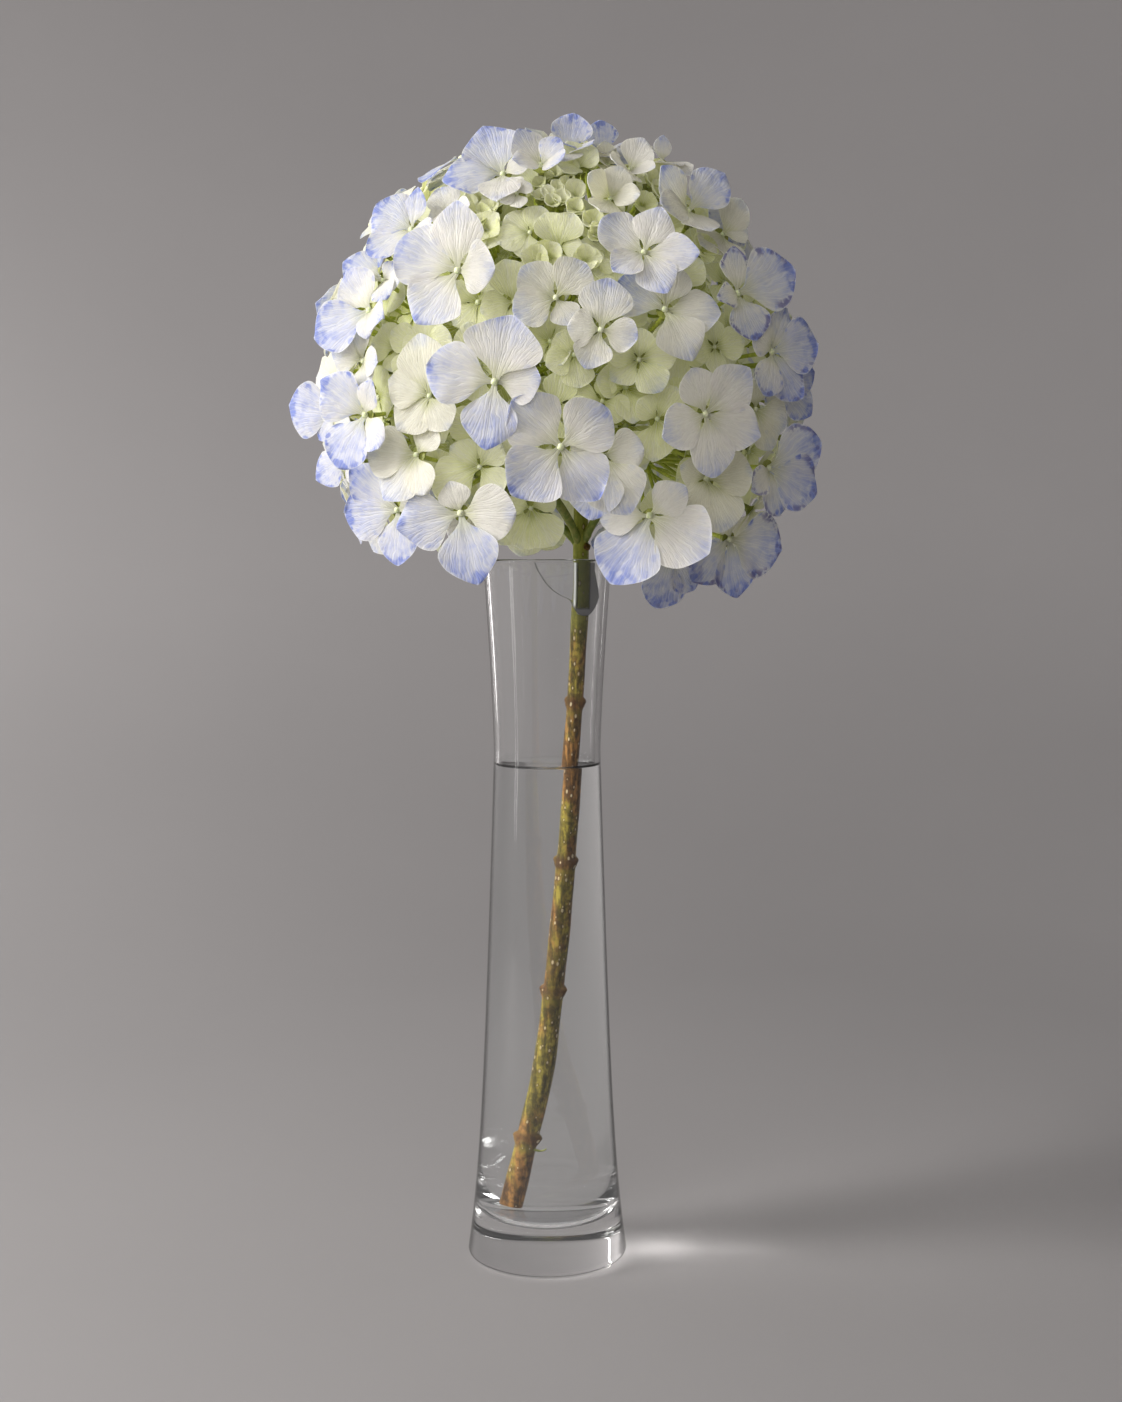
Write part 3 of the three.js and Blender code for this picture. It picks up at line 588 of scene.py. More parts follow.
def sepal_paint_group():
    """Colour and height of a sepal: cream and green towards its claw, blue towards its tip and
    along its edge, dark spots, pale veins that fan out, and a painted highlight: a thin pale line
    along its edge where the rim catches the light."""
    group, n, given = new_group(
        "sepal paint",
        [("Place", "Vector"), ("Paint", "Vector"), ("White", "Color", colour(.84, .84, .83)),
         ("Cream", "Color", colour(.76, .78, .50)), ("Throat", "Color", colour(.50, .54, .08))],
        [("Color", "Color"), ("Through", "Color"), ("Height", "Float")])
    fan, along, edge = n.split(given["Place"])
    cream, blue, spots = n.split(given["Paint"])
    seed = n.times(n.math("FLOOR", edge), 7.31)
    edge = n.math("FRACT", edge)
    beside = n.times(fan, n.line(along, .9, .135))
    margin = n.larger(n.ramp(edge, .55, .95), n.ramp(along, .72, .98))
    patches = n.noise(n.join(n.times(fan, 3), n.times(along, 3.2), seed), 1.6)
    blotches = n.noise(n.join(beside, along, seed), 7.0, 2.0, .45)
    blues = blue_wash(n, fan, along, beside, margin, seed, blue, spots, patches, blotches)
    sway = n.noise(n.join(n.times(fan, 3), n.times(along, 3), seed), 1.0)
    midrib = n.ramp(n.size(fan), .0, .03, 1.0, .0)
    veins = n.larger(midrib, n.larger(
        vein_lines(n, fan, sway, MAIN_VEINS),
        n.times(vein_lines(n, fan, sway, FINE_VEINS), n.ramp(along, .35, .6))))
    crepe = n.noise(n.join(n.times(fan, 26), n.times(along, 9), seed), 1.0, 3.0)
    creamy = n.plus(n.times(cream, n.ramp(along, .30, .95, 1.0, .62)),
                    n.ramp(along, .0, .45, .20, .0), clamp=True)
    throat = n.times(n.ramp(along, .04, .42, 1.0, .0), n.line(cream, .55, .3))
    green = n.times(n.minus(cream, 1.0, clamp=True), .8)
    painted = n.mix(creamy, given["White"], given["Cream"])
    painted = n.mix(n.plus(throat, green, clamp=True), painted, given["Throat"])
    painted = n.mix(n.times(n.ramp(crepe, .42, .68), .16), painted, THIN_SPOT_GREY)
    painted = n.mix(blues, painted, n.mix(n.ramp(blues, .40, 1.0), PALE_BLUE, DEEP_BLUE))
    painted = n.mix(n.times(veins, n.line(blues, -.42, .62)), painted, VEIN_WHITE)
    spot = plum_spots(n, fan, along, edge, seed, spots, patches, blotches)
    painted = n.mix(n.times(spot, .8), painted, PLUM)
    # Painted highlight: a thin paler line along the edge, where the rim catches the light.
    outline = n.larger(n.ramp(edge, .945, .98), n.ramp(along, .97, .995))
    painted = n.mix(n.times(outline, .5), painted, RIM_HIGHLIGHT_WHITE)
    through = n.mix(n.line(cream, .40, .10, clamp=True), painted, THROUGH_YELLOW, "MULTIPLY")
    height = n.plus(n.times(crepe, .7), n.times(veins, -.3))
    return close_group(group, Color=painted, Through=through, Height=height)


SEPAL_PAINT = sepal_paint_group()


def sepal_material(name, white, cream, painted_glow):
    """A sepal's skin. Its faint emission is painted light, for the light its neighbours pass on
    to it.
    """
    material, n = new_material(name)
    paint = n.new("Group", {"node_tree": SEPAL_PAINT}, Place=n.attribute("place"),
                  Paint=n.attribute("paint"), White=white, Cream=cream).outputs
    relief = n.bump(paint["Height"], .6, .0004)
    skin = n.new("BsdfPrincipled", Base_Color=paint["Color"], Roughness=.52, Normal=relief,
                 Specular_IOR_Level=.35, Sheen_Weight=.12, Emission_Color=paint["Color"],
                 Emission_Strength=painted_glow)
    shine = n.new("BsdfTranslucent", Color=paint["Through"], Normal=relief)
    n.finish(n.mix_shaders(.56, skin, shine))
    return material


def mottle_group():
    """Two colours in soft patches of a given size in metres, with a height to match."""
    group, n, given = new_group(
        "mottle",
        [("First", "Color"), ("Second", "Color"), ("Size", "Float", .004),
         ("Stretch", "Float", 1.0), ("Balance", "Float", .5)],
        [("Color", "Color"), ("Height", "Float")])
    x, y, z = n.split(n.own_place())
    place = n.join(x, y, n.math("DIVIDE", z, given["Stretch"]))
    pattern = n.noise(place, n.math("DIVIDE", 1.0, given["Size"]), 4.0, .6)
    mask = n.ramp(pattern, n.minus(given["Balance"], .09), n.plus(given["Balance"], .09))
    return close_group(group, Color=n.mix(mask, given["First"], given["Second"]),
                       Height=pattern)


MOTTLE = mottle_group()


def mottle(n, first, second, size, stretch, balance=.5):
    return n.new("Group", {"node_tree": MOTTLE}, First=first, Second=second, Size=size,
                 Stretch=stretch, Balance=balance).outputs


def green_material(name, first, second, roughness=.5):
    """Fresh green tissue: stalks, buds and the beads in the middle of the florets."""
    material, n = new_material(name)
    tissue = mottle(n, first, second, .0016, 2.0)
    n.finish(n.new("BsdfPrincipled", Base_Color=tissue["Color"], Roughness=roughness,
                   Normal=n.bump(tissue["Height"], .4, .0002), Subsurface_Weight=.25,
                   Subsurface_Radius=(.001, .0012, .0005)))
    return material


OLIVE, RUST = colour(.148, .134, .024), colour(.150, .084, .026)
NODE_BROWN, YOUNG_GREEN_AND_PAINTED_LIGHT = colour(.060, .024, .006), colour(.29, .32, .050)
UNDER_NODE_GREEN = colour(.20, .17, .02)
LENTICEL, LENTICEL_RIM = colour(.58, .48, .30), colour(.075, .035, .010)
# The top of the stem turns a lighter green: young bark, and painted light against the head's
# shade.
LIGHTER_GREEN_FROM, LIGHTER_GREEN_AT = 228, 250              # heights between which the stem turns fresh green
LENTICELS_ROUND, LENTICELS_UP = .52, .25     # cells to a millimetre, round the stem and up it
BACK_SEAM = 7.2, 8.0                         # no lenticels here, where its back meets itself


def bark_material():
    """Olive bark with rust-brown patches, dark at the nodes, yellow-green under them and a
    lighter green at the top, young bark painted lighter still against the head's shade, with pale
    raised lenticels. The stem's "place" holds how far round from its front and how far up it a
    point lies."""
    material, n = new_material("stem bark")
    node, brown, fresh = n.split(n.attribute("paint"))
    around, up, _ = n.split(n.attribute("place"))
    broad = mottle(n, OLIVE, RUST, .007, 2.2, n.line(brown, -.36, .68))
    streaks = mottle(n, colour(1.45, 1.35, 1.2), colour(.55, .50, .45), .0016, 10.0)
    fine = mottle(n, colour(1.5, 1.42, 1.35), colour(.66, .62, .56), .0013, 1.6)
    skin = n.mix(1.0, broad["Color"], streaks["Color"], "MULTIPLY")
    skin = n.mix(1.0, skin, fine["Color"], "MULTIPLY")
    skin = n.mix(n.times(fresh, .45), skin, UNDER_NODE_GREEN)
    # Lighter green at the top: young bark, and painted light against the shade the head casts
    # there.
    skin = n.mix(n.ramp(up, LIGHTER_GREEN_FROM, LIGHTER_GREEN_AT, .0, .75), skin, YOUNG_GREEN_AND_PAINTED_LIGHT)
    skin = n.mix(n.times(node, .75), skin, NODE_BROWN)
    cells = n.cells(n.join(n.times(around, LENTICELS_ROUND), n.times(up, LENTICELS_UP)), 1.0,
                    voronoi_dimensions="2D")
    pick, size, _ = n.split(cells["Color"])
    chosen = n.times(n.ramp(pick, .60, .62), n.ramp(n.size(around), *BACK_SEAM, 1.0, .0))
    near = n.math("DIVIDE", cells["Distance"], n.line(size, 1.1, .55))
    lenticels = n.times(n.ramp(near, .08, .15, 1.0, .0), chosen)
    rims = n.times(n.ramp(near, .14, .28, 1.0, .0), chosen)
    skin = n.mix(n.times(rims, .6), skin, LENTICEL_RIM)
    skin = n.mix(n.times(lenticels, .9), skin, LENTICEL)
    height = n.plus(n.times(fine["Height"], .5),
                    n.plus(lenticels, n.times(streaks["Height"], .6)))
    n.finish(n.new("BsdfPrincipled", Base_Color=skin, Roughness=.46,
                   Normal=n.bump(height, .7, .0004), Specular_IOR_Level=.24))
    return material


# Painted shade of glass and water seen edge on: the facing range over which it darkens, and its
# dark.
EDGE_RANGE, PAINTED_EDGE_SHADE = (.60, .80), colour(.04, .04, .04)
SHADOW_TINT = colour(.86, .86, .86)
GLASS_IOR, WATER_IOR = 1.5, 1.333
# Painted light on the held water: its grey sheen, and the dark line along its edge.
PAINTED_SHEEN_GREY, PAINTED_EDGE_DARK = colour(.40, .40, .425), colour(.13, .13, .14)


def clear_material(name, tint, ior, wave, rim=0.0):
    """Clear glass or water, with painted shade where it is seen edge on: there it darkens. The
    lamps shine straight through it, only a little dimmed, so what stands in it is lit. rim is
    painted light: an emission that lights up a glass's lip, and faintly its foot."""
    material, n = new_material(name)
    x, y, z = n.split(n.own_place())
    ripple = n.noise(n.join(x, y, n.times(z, .07)), 60.0, 1.0)
    # Painted shade: darker where the surface is seen edge on, less on flat faces and above the
    # water.
    edge = n.ramp(n.new("LayerWeight", Blend=.5).outputs["Facing"], *EDGE_RANGE)
    slope = n.size(n.split(n.new("NewGeometry").outputs["Normal"])[2])
    edge = n.times(edge, n.ramp(slope, .15, .5, 1.0, .0))
    edge = n.times(edge, n.ramp(z, WATER_HEIGHT * MM, (WATER_HEIGHT + 1) * MM, 1.0, .55))
    lit = {}
    # Painted light: the lip, and faintly the foot, shine by emission as if they caught the light.
    if rim:
        lip = n.ramp(z, (VASE_HEIGHT - .5) * MM, VASE_HEIGHT * MM, .0, .6)
        heel = n.times(n.ramp(slope, .3, .6), n.ramp(z, .03, .04, .12, .0))
        light = n.times(n.larger(lip, heel), rim)
        lit = {"Emission_Color": n.join(light, light, light), "Emission_Strength": 1.0}
    body = n.new("BsdfPrincipled", Base_Color=n.mix(edge, tint, PAINTED_EDGE_SHADE), Roughness=.0,
                 IOR=ior, Transmission_Weight=1.0, Normal=n.bump(ripple, wave, .0004), **lit)
    passing = n.new("BsdfTransparent", Color=SHADOW_TINT)
    n.finish(n.mix_shaders(n.new("LightPath").outputs["Is Shadow Ray"], body, passing))
    return material


def held_material():
    """Water held against the glass, all its sheen painted light. Its "paint" holds where a
    painted grey sheen covers it, where a painted glint shines by emission and where a dark
    painted line outlines it."""
    material, n = new_material("held water")
    grey, painted_glint, outline = n.split(n.attribute("paint"))
    water = n.new("BsdfPrincipled", Base_Color=colour(.97, .98, .98), Roughness=.0,
                  IOR=WATER_IOR, Transmission_Weight=1.0)
    # Painted light: grey sheen and glint over the water, the glint shining by emission, and a
    # dark line at the edge.
    shade = n.mix(outline, PAINTED_SHEEN_GREY, PAINTED_EDGE_DARK)
    sheen = n.new("BsdfPrincipled", Base_Color=n.mix(painted_glint, shade, colour(.9, .9, .9)),
                  Roughness=.3, Emission_Strength=1.0,
                  Emission_Color=n.mix(painted_glint, colour(0, 0, 0), colour(.5, .5, .5)))
    cover = n.larger(n.times(grey, .78), n.times(painted_glint, .9))
    n.finish(n.mix_shaders(cover, water, sheen))
    return material


# The glass's last figure is how strongly its lip and foot shine: painted light.
GLASS = clear_material("clear glass", colour(.985, .99, .99), GLASS_IOR, .22, .16)
WATER = clear_material("water", colour(.99, 1, 1), WATER_IOR, .03)
HELD_FILM_WATER = held_material()
# The last figure is each sepal's painted light: how strongly it glows by emission.
WHITE_SEPAL = sepal_material("white sepal", colour(.925, .903, .92), colour(.90, .885, .76), .03)
CREAM_SEPAL = sepal_material("cream sepal", colour(.95, .945, .89), colour(.91, .92, .64), .08)
STALK_GREEN = green_material("stalk green", colour(.54, .60, .10), colour(.42, .49, .07))
BEAD_GREEN = green_material("bead green", colour(.70, .72, .50), colour(.56, .62, .36), .6)
CUP_GREEN = green_material("cup green", colour(.20, .23, .04), colour(.30, .32, .07))
BUD_GREEN = green_material("bud green", colour(.58, .64, .30), colour(.44, .52, .18))
RAY_GREEN = green_material("ray green", colour(.15, .20, .022), colour(.26, .27, .055))
BARK = bark_material()
PITH = green_material("cut end", colour(.52, .47, .28), colour(.36, .30, .14), .7)

# ---- Making the vase and the water


def outer_radius(z):
    up = np.clip((z - WAIST_HEIGHT) / (VASE_HEIGHT - WAIST_HEIGHT), 0, None)
    down = np.clip((WAIST_HEIGHT - z) / WAIST_HEIGHT, 0, None)
    return (WAIST_RADIUS + RIM_SPREAD * up ** RIM_POWER + BASE_SPREAD * down ** BASE_POWER
            + FOOT_SPREAD * down ** FOOT_POWER)


def arc(r, z, radius, start, end, steps):
    angles = np.radians(np.linspace(start, end, steps + 1))
    return np.stack([r + radius * np.cos(angles), z + radius * np.sin(angles)], 1)


def wall(low, high, inset, steps):
    heights = np.linspace(low, high, steps)
    return np.stack([outer_radius(heights) - inset, heights], 1)


def inside_profile(top, inset, steps):
    """The vase's inside from the middle of its floor up to a height, moved in by an inset."""
    corner = FLOOR_HEIGHT + FLOOR_CORNER
    middle = outer_radius(corner) - WALL - FLOOR_CORNER
    floor = np.stack([np.linspace(0, middle * .98, 6), np.full(6, FLOOR_HEIGHT + inset)], 1)
    return np.concatenate([
        floor, arc(middle, corner, FLOOR_CORNER - inset, -90, 0, 12),
        wall(corner + 1, top, WALL + inset, steps)])


def turned_points(profile, sides):
    """The points of a (radius, height) profile turned about the axis, ring by ring."""
    angles = np.arange(sides) * 2 * math.pi / sides
    return np.stack([
        np.outer(profile[:, 0], np.cos(angles)), np.outer(profile[:, 0], np.sin(angles)),
        np.repeat(profile[:, 1:], sides, 1)], 2).reshape(-1, 3)


def add_turned(shape, profile, sides):
    """A closed body from a profile that starts and ends on the axis."""
    points = turned_points(profile[1:-1], sides)
    ends = [[0, 0, profile[0, 1]], [0, 0, profile[-1, 1]]]
    first, last, top = len(points), len(points) + 1, len(points) - sides
    faces = ring_faces(len(profile) - 2, sides, False)
    faces += [(first, (i + 1) % sides, i) for i in range(sides)]
    faces += [(last, top + i, top + (i + 1) % sides) for i in range(sides)]
    shape.add(np.concatenate([points, ends]), faces)


def make_vase():
    rim = WALL / 2
    lip = outer_radius(VASE_HEIGHT) - rim
    outside = np.concatenate([
        np.stack([np.linspace(0, outer_radius(HEEL_RADIUS) - HEEL_RADIUS - .1, 8),
                  np.zeros(8)], 1),
        arc(outer_radius(HEEL_RADIUS) - HEEL_RADIUS, HEEL_RADIUS, HEEL_RADIUS, -90, 0, 12),
        wall(HEEL_RADIUS + 1, VASE_HEIGHT - rim - .2, 0, 90)])
    over = arc(lip, VASE_HEIGHT - rim, rim, 5, 175, 12)
    inside = inside_profile(VASE_HEIGHT - rim - .2, 0, 90)[::-1]
    shape = Shape()
    add_turned(shape, np.concatenate([outside, over, inside]), GLASS_SIDES)
    shape.make("clear_vase", [GLASS], "vase_glass", ["vase"])


def make_water():
    edge = inside_profile(WATER_HEIGHT + MENISCUS_RISE, -WATER_BITE, 60)
    wall_radius = outer_radius(WATER_HEIGHT) - WALL + WATER_BITE
    radii = np.concatenate([
        wall_radius - np.linspace(.05, 6, 24), np.linspace(wall_radius - 7, 0, 8)])
    rise = MENISCUS_RISE * np.exp(-(wall_radius - radii) / MENISCUS_WIDTH)
    surface = np.stack([radii, WATER_HEIGHT + rise], 1)
    shape = Shape()
    add_turned(shape, np.concatenate([edge, surface]), GLASS_SIDES)
    shape.make("vase_water", [WATER], "water", ["water"], sharp=35)


# The water held by the stem against the glass under the rim: height, then how far it reaches
# to the left and right of the stem along the glass.
HELD_WATER = np.array([
    [239.8, -2.0, .2], [240.4, -3.4, 1.5], [241.5, -4.9, 2.9], [243, -6.0, 4.3], [245, -6.9, 5.5],
    [245.5, -7.4, 5.7], [246, -8.2, 6.2], [247.1, -10.8, 6.1], [249, -13.7, 5.6],
    [251.5, -16.1, 4.7], [256.1, -19, 3.2], [258.9, -20, 3.2]])
HELD_ROWS, HELD_COLUMNS = 90, 150
HELD_FILM, HELD_EDGE = 0.32, 0.9     # thickness of its film, and how soon that thins to nothing
HELD_LEAST = 0.02                    # its thickness at its very edge
HELD_FILLET, HELD_BESIDE = 2.4, 2.7  # how far it thickens beside the stem, and from where
HELD_DROP_TOP, HELD_DROP_SLOPE = 243.0, 1.6
# Where the painted glint on the held water's left edge stands, from what height, and how wide.
PAINTED_GLINT_AT, PAINTED_GLINT_FROM, PAINTED_GLINT_WIDTH = -5.4, 242, .8


def make_held_water():
    """The held water, with painted light: a grey sheen over its right part and a glint on its
    left edge.
    """
    heights = np.linspace(HELD_WATER[0, 0], HELD_WATER[-1, 0], HELD_ROWS)
    left, right = (np.interp(heights, HELD_WATER[:, 0], HELD_WATER[:, k])[:, None]
                   for k in (1, 2))
    axis = np.stack([np.interp(heights, STEM_LINE[:, 2], STEM_LINE[:, k]) for k in (0, 1)], 1)
    glass = outer_radius(heights) - WALL + WATER_BITE
    reach = left + (right - left) * np.linspace(0, 1, HELD_COLUMNS)
    azimuth = np.arctan2(axis[:, 1], axis[:, 0])[:, None] + reach / glass[:, None]
    gap = glass - np.linalg.norm(axis, axis=1) - STEM_RADIUS
    hug = gap[:, None] + np.minimum(np.abs(reach) ** 2 / 2 / STEM_RADIUS, 1.6) + .2
    beside = np.maximum(np.abs(reach) - HELD_BESIDE, 0) / HELD_FILLET
    fillet = hug * np.clip(1 - beside, 0, 1) ** 2
    to_edge = np.minimum(np.minimum(reach - left, right - reach),
                         ((heights - heights[0]) * HELD_DROP_SLOPE)[:, None])
    thickness = (HELD_FILM + fillet) * np.sqrt(np.clip(to_edge / HELD_EDGE, 0, 1)) + HELD_LEAST

    def at(radius):
        return np.stack([radius * np.cos(azimuth), radius * np.sin(azimuth),
                         np.broadcast_to(heights[:, None], radius.shape)], 2).reshape(-1, 3)

    # Painted light: grey sheen over the right part, the drop and a band near the edge; a glint on
    # the left; a dark line at the very edge.
    drop = np.clip((HELD_DROP_TOP - heights) / 1.2, 0, 1)[:, None]
    grey = np.maximum(np.clip((reach - .3) / 1.2, 0, 1), drop)
    grey = np.maximum(grey, .8 * np.clip(1 - np.abs(to_edge - .35) / .3, 0, 1))
    painted_glint = np.clip(1 - np.abs(reach - PAINTED_GLINT_AT) / PAINTED_GLINT_WIDTH, 0, 1)
    painted_glint = painted_glint * np.clip((heights - PAINTED_GLINT_FROM) / 2, 0, 1)[:, None]
    outline = 1 - np.clip(to_edge / .4, 0, 1)
    paint = np.stack([grey, painted_glint, outline], 2).reshape(-1, 3)
    shape = Shape()
    wall_radius = np.broadcast_to(glass[:, None], thickness.shape)
    shape.add(np.concatenate([at(wall_radius), at(wall_radius - thickness)]),
              [face[::-1] for face in sheet_faces(HELD_ROWS, HELD_COLUMNS)],
              paint=np.concatenate([paint, paint]))
    shape.make("held_water", [HELD_FILM_WATER], "water")


# ---- Stem and the rays of the head


def make_stem():
    line = line_through(np.concatenate([STEM_LINE, CORE_LINE]), STEM_RINGS)
    heights = line[:, 2]
    radii = STEM_RADIUS * (1.04 + .03 * np.sin(heights / 9.0) + .02 * np.sin(heights / 3.7))
    radii *= 1 - TAPER * np.clip((heights - TAPER_FROM) / TAPER_OVER, 0, 1)
    close_to_node = np.zeros(len(line))

    def swell(angles):
        factor = np.ones((len(line), len(angles)))
        sides = np.abs(np.cos(angles)) ** 5
        for z in NODE_HEIGHTS:
            ring = np.exp(-((heights - z + 1.2) / .75) ** 2)
            above = heights - z
            stub = np.exp(-((above - .8) / 1.5) ** 2) * (above < 1.9)
            factor += COLLAR * ring[:, None] + STUB_REACH * stub[:, None] * sides[None]
            close_to_node[:] = np.maximum(close_to_node, np.exp(-((above - .6) / 1.9) ** 2))
        return factor

    shape = Shape()
    tube(shape, line, radii, STEM_SIDES, swell=swell)
    shape.finish[-2] = 1
    brown = np.interp(heights, BROWN_SHARE[:, 0], BROWN_SHARE[:, 1])
    under_node = sum(np.exp(-((heights - z + 3.6) / 1.3) ** 2) for z in NODE_HEIGHTS)
    paint = np.repeat(np.stack([close_to_node, brown, under_node], 1), STEM_SIDES, 0)
    shape.paint = [tuple(p) for p in paint]
    from_front = (np.arange(STEM_SIDES) / STEM_SIDES * 360 + 90) % 360 - 180
    around = np.tile(np.radians(from_front) * STEM_RADIUS, len(line))
    shape.place = list(zip(around, np.repeat(heights, STEM_SIDES), around * 0))
    tube(shape, bezier(*SPROUT, 10), np.linspace(*SPROUT_RADII, 10), 10, 2)
    fork = line[np.argmin(np.abs(heights - FORK_HEIGHT))]
    add_bead(shape, fork + FORK_BUD, unit(FORK_BUD_FACING), FORK_BUD_RADIUS, 0, (1, .6, 0))
    shape.make("flower_stem", [BARK, PITH, RAY_GREEN], "stem", ["stem"], sharp=50)


def ray_ends():
    return np.array([direction(azimuth + i * 360 / count, elevation)
                     for elevation, azimuth, count in RAY_RINGS for i in range(count)])


RAYS = ray_ends()


def make_rays():
    core = np.concatenate([STEM_LINE[-3:], CORE_LINE])
    starts = [RAY_STARTS[elevation] for elevation, _, count in RAY_RINGS for _ in range(count)]
    shape = Shape()
    for towards, height in zip(RAYS, starts):
        start = np.array([np.interp(height, core[:, 2], core[:, k]) for k in range(3)])
        end = HEAD_CENTRE + towards * RAY_REACH
        outwards = (end - start) * [1, 1, 0] / max(np.linalg.norm((end - start)[:2]), 1)
        bend = start + (UP + outwards * RAY_LEAN) * RAY_RISE
        line = bezier(start, bend, end, RAY_POINTS)
        off = np.linalg.norm(line - start, axis=1)
        collar = 1 + RAY_COLLAR * np.exp(-((off - RAY_COLLAR_AT) / .5) ** 2)
        tube(shape, line, np.linspace(*RAY_RADII, RAY_POINTS) * collar, RAY_SIDES)
    shape.make("head_rays", [RAY_GREEN], "stem", ["stem"])


# ---- Florets


@functools.lru_cache
def sheet_faces(rows, columns):
    """The faces of a thin sheet of points in rows and columns: its upper side, its under side,
    whose points come after the upper ones, and the edge between them."""
    count = rows * columns
    row, column = np.meshgrid(np.arange(rows - 1), np.arange(columns - 1), indexing="ij")
    corner = (row * columns + column).ravel()[:, None]
    under = corner + count + np.array([0, 1, columns + 1, columns])
    upper = corner + np.array([columns, columns + 1, 1, 0])
    border = ([c for c in range(columns)] + [r * columns + columns - 1 for r in range(1, rows)]
              + [(rows - 1) * columns + c for c in range(columns - 2, -1, -1)]
              + [r * columns for r in range(rows - 2, 0, -1)])
    edge = [(here, there, there + count, here + count)
            for here, there in zip(border, border[1:] + border[:1])]
    return upper.tolist() + under.tolist() + edge


def add_sepal(shape, middle, tip, normal, length, broad, paint, rng, cells, level=0.0, curl=0.0):
    """One sepal from the middle of its floret to its tip. curl bends its sides up."""
    across_cells, along_cells = cells
    axis = tip - middle
    own = np.linalg.norm(axis)
    axis = axis / own
    out = unit(normal - axis * (normal @ axis))
    side = np.cross(out, axis)
    s = CLAW + (1 - CLAW) * np.sin(np.linspace(0, math.pi / 2, along_cells + 1)) ** .85
    u = np.linspace(-1, 1, across_cells + 1)
    u = np.sign(u) * np.abs(u) ** .85
    s, u = np.meshgrid(s, u, indexing="ij")
    phase = rng.uniform(0, 2 * math.pi, 9)
    scallop = (1 + SCALLOP * np.sin(9 * s + phase[3] + u * 2)
               + FINE_SCALLOP * np.sin(24 * s + phase[4] + u * 3))
    point = rng.uniform(.05, .8) - .3 * min(paint[0], 1)
    half = ((1 - point) * smooth_through(OUTLINE[:, :2], s)
            + point * smooth_through(OUTLINE[:, ::2], s))
    half *= .95 * broad * (.8 * own + .2 * length) * scallop
    lateral = u * half
    fan = lateral / own / (s + .15)
    arch = rng.uniform(*ARCH) * own
    cup = (rng.uniform(*CUP) + curl) / own
    roll = rng.uniform(*ROLL)
    ruffle = rng.uniform(*RUFFLE) * own
    lift = arch * 4 * s * (1 - s) + cup * lateral ** 2 + roll * lateral
    lift += ruffle * np.abs(u) ** 3 * s * (
        np.sin(7 * s + np.where(u > 0, phase[0], phase[1])) + .35 * np.sin(17 * s + phase[5]))
    lift -= GROOVE * own * np.exp(-(u / .14) ** 2) * s * (1 - s) * 4
    lift += RIB * own * np.sin(fan * 34 + phase[2]) * s
    lift += PUCKER * own * np.minimum(s / .3, 1) * (
        np.sin(11 * s + 5 * fan + phase[6]) + np.sin(9 * fan - 6 * s + phase[7])
        + .5 * np.sin(19 * s - 4 * fan + phase[8]))
    lift += level * np.minimum(s / .15, 1) * (1 - s ** 3)
    points = (middle + s[..., None] * own * axis + lateral[..., None] * side
              + lift[..., None] * out)
    half_thick = SEPAL_THICKNESS / 2 * out
    flat = points.reshape(-1, 3)
    seed = rng.integers(1, 60)
    place = np.stack([fan.ravel(), s.ravel(), seed + np.abs(u).ravel() * .999], 1)
    shape.add(np.concatenate([flat + half_thick, flat - half_thick]), sheet_faces(*s.shape), 0,
              np.concatenate([place, place]), paint)


def add_bead(shape, middle, normal, radius, finish=1, paint=(0, 0, 0)):
    """The closed little flower in the middle of the sepals, in four parts."""
    side = unit(np.cross(normal, [.3, .5, .81]))
    beside = np.cross(normal, side)
    rings, sides = 7, 16
    angles = np.arange(sides) * 2 * math.pi / sides
    points = []
    for k in range(rings):
        level = math.pi * (k + .35) / (rings - .3)
        ring_radius = radius * math.sin(level) * (1 - .16 * np.cos(2 * angles) ** 2)
        height = radius * (.35 - .8 * math.cos(level))
        points += [middle + normal * height + side * r * math.cos(a) + beside * r * math.sin(a)
                   for r, a in zip(ring_radius, angles)]
    shape.add(points, ring_faces(rings, sides), finish, paint=paint)


def add_stalk(shape, middle, normal, sides=10, cup=2.0):
    """The stalk up from the nearest ray, widening to a small cup under the sepals."""
    ray = RAYS[np.argmax(RAYS @ unit(middle - HEAD_CENTRE))]
    knob = HEAD_CENTRE + ray * RAY_REACH
    bend = middle - normal * STALK_STRAIGHT
    start = knob + unit(bend - knob) * KNOB_RADIUS * .5
    line = bezier(start, bend, middle - normal * .35, 16)
    line = np.concatenate([line[:-1], line[-1] - normal * np.array([[1.2], [.5], [0]])])
    from_top = np.linalg.norm(line - line[-1], axis=1)
    radii = (STALK_RADIUS + STALK_SWELL * np.exp(-from_top / STALK_SWELL_OVER)
             + cup * np.exp(-from_top / CUP_OVER))
    tube(shape, line, radii, sides, 2)
    shape.finish[-3 * sides - 2:-2] = [3] * 3 * sides
    shape.finish[-1] = 3


def floret_finish(cream):
    """The slot of florets that are so cream, and their materials."""
    slot, sepal = (("floret_cream", CREAM_SEPAL) if cream > CREAM_FROM
                   else ("floret_white", WHITE_SEPAL))
    return slot, [sepal, BEAD_GREEN, STALK_GREEN, CUP_GREEN]


def make_floret(name, middle, normal, tips, length, paints, broads, seed, replaces, cream=0.0):
    rng = np.random.default_rng(seed)
    shape = Shape()
    for tip, paint, broad, level in zip(tips, paints, broads, SEPAL_LEVELS):
        add_sepal(shape, middle, tip, normal, length, broad, paint, rng, FINE, level)
    add_bead(shape, middle, normal, length * .045 + .35)
    add_stalk(shape, middle, normal)
    slot, materials = floret_finish(cream)
    shape.make(name, materials, slot, replaces, sharp=FLORET_SHARP)


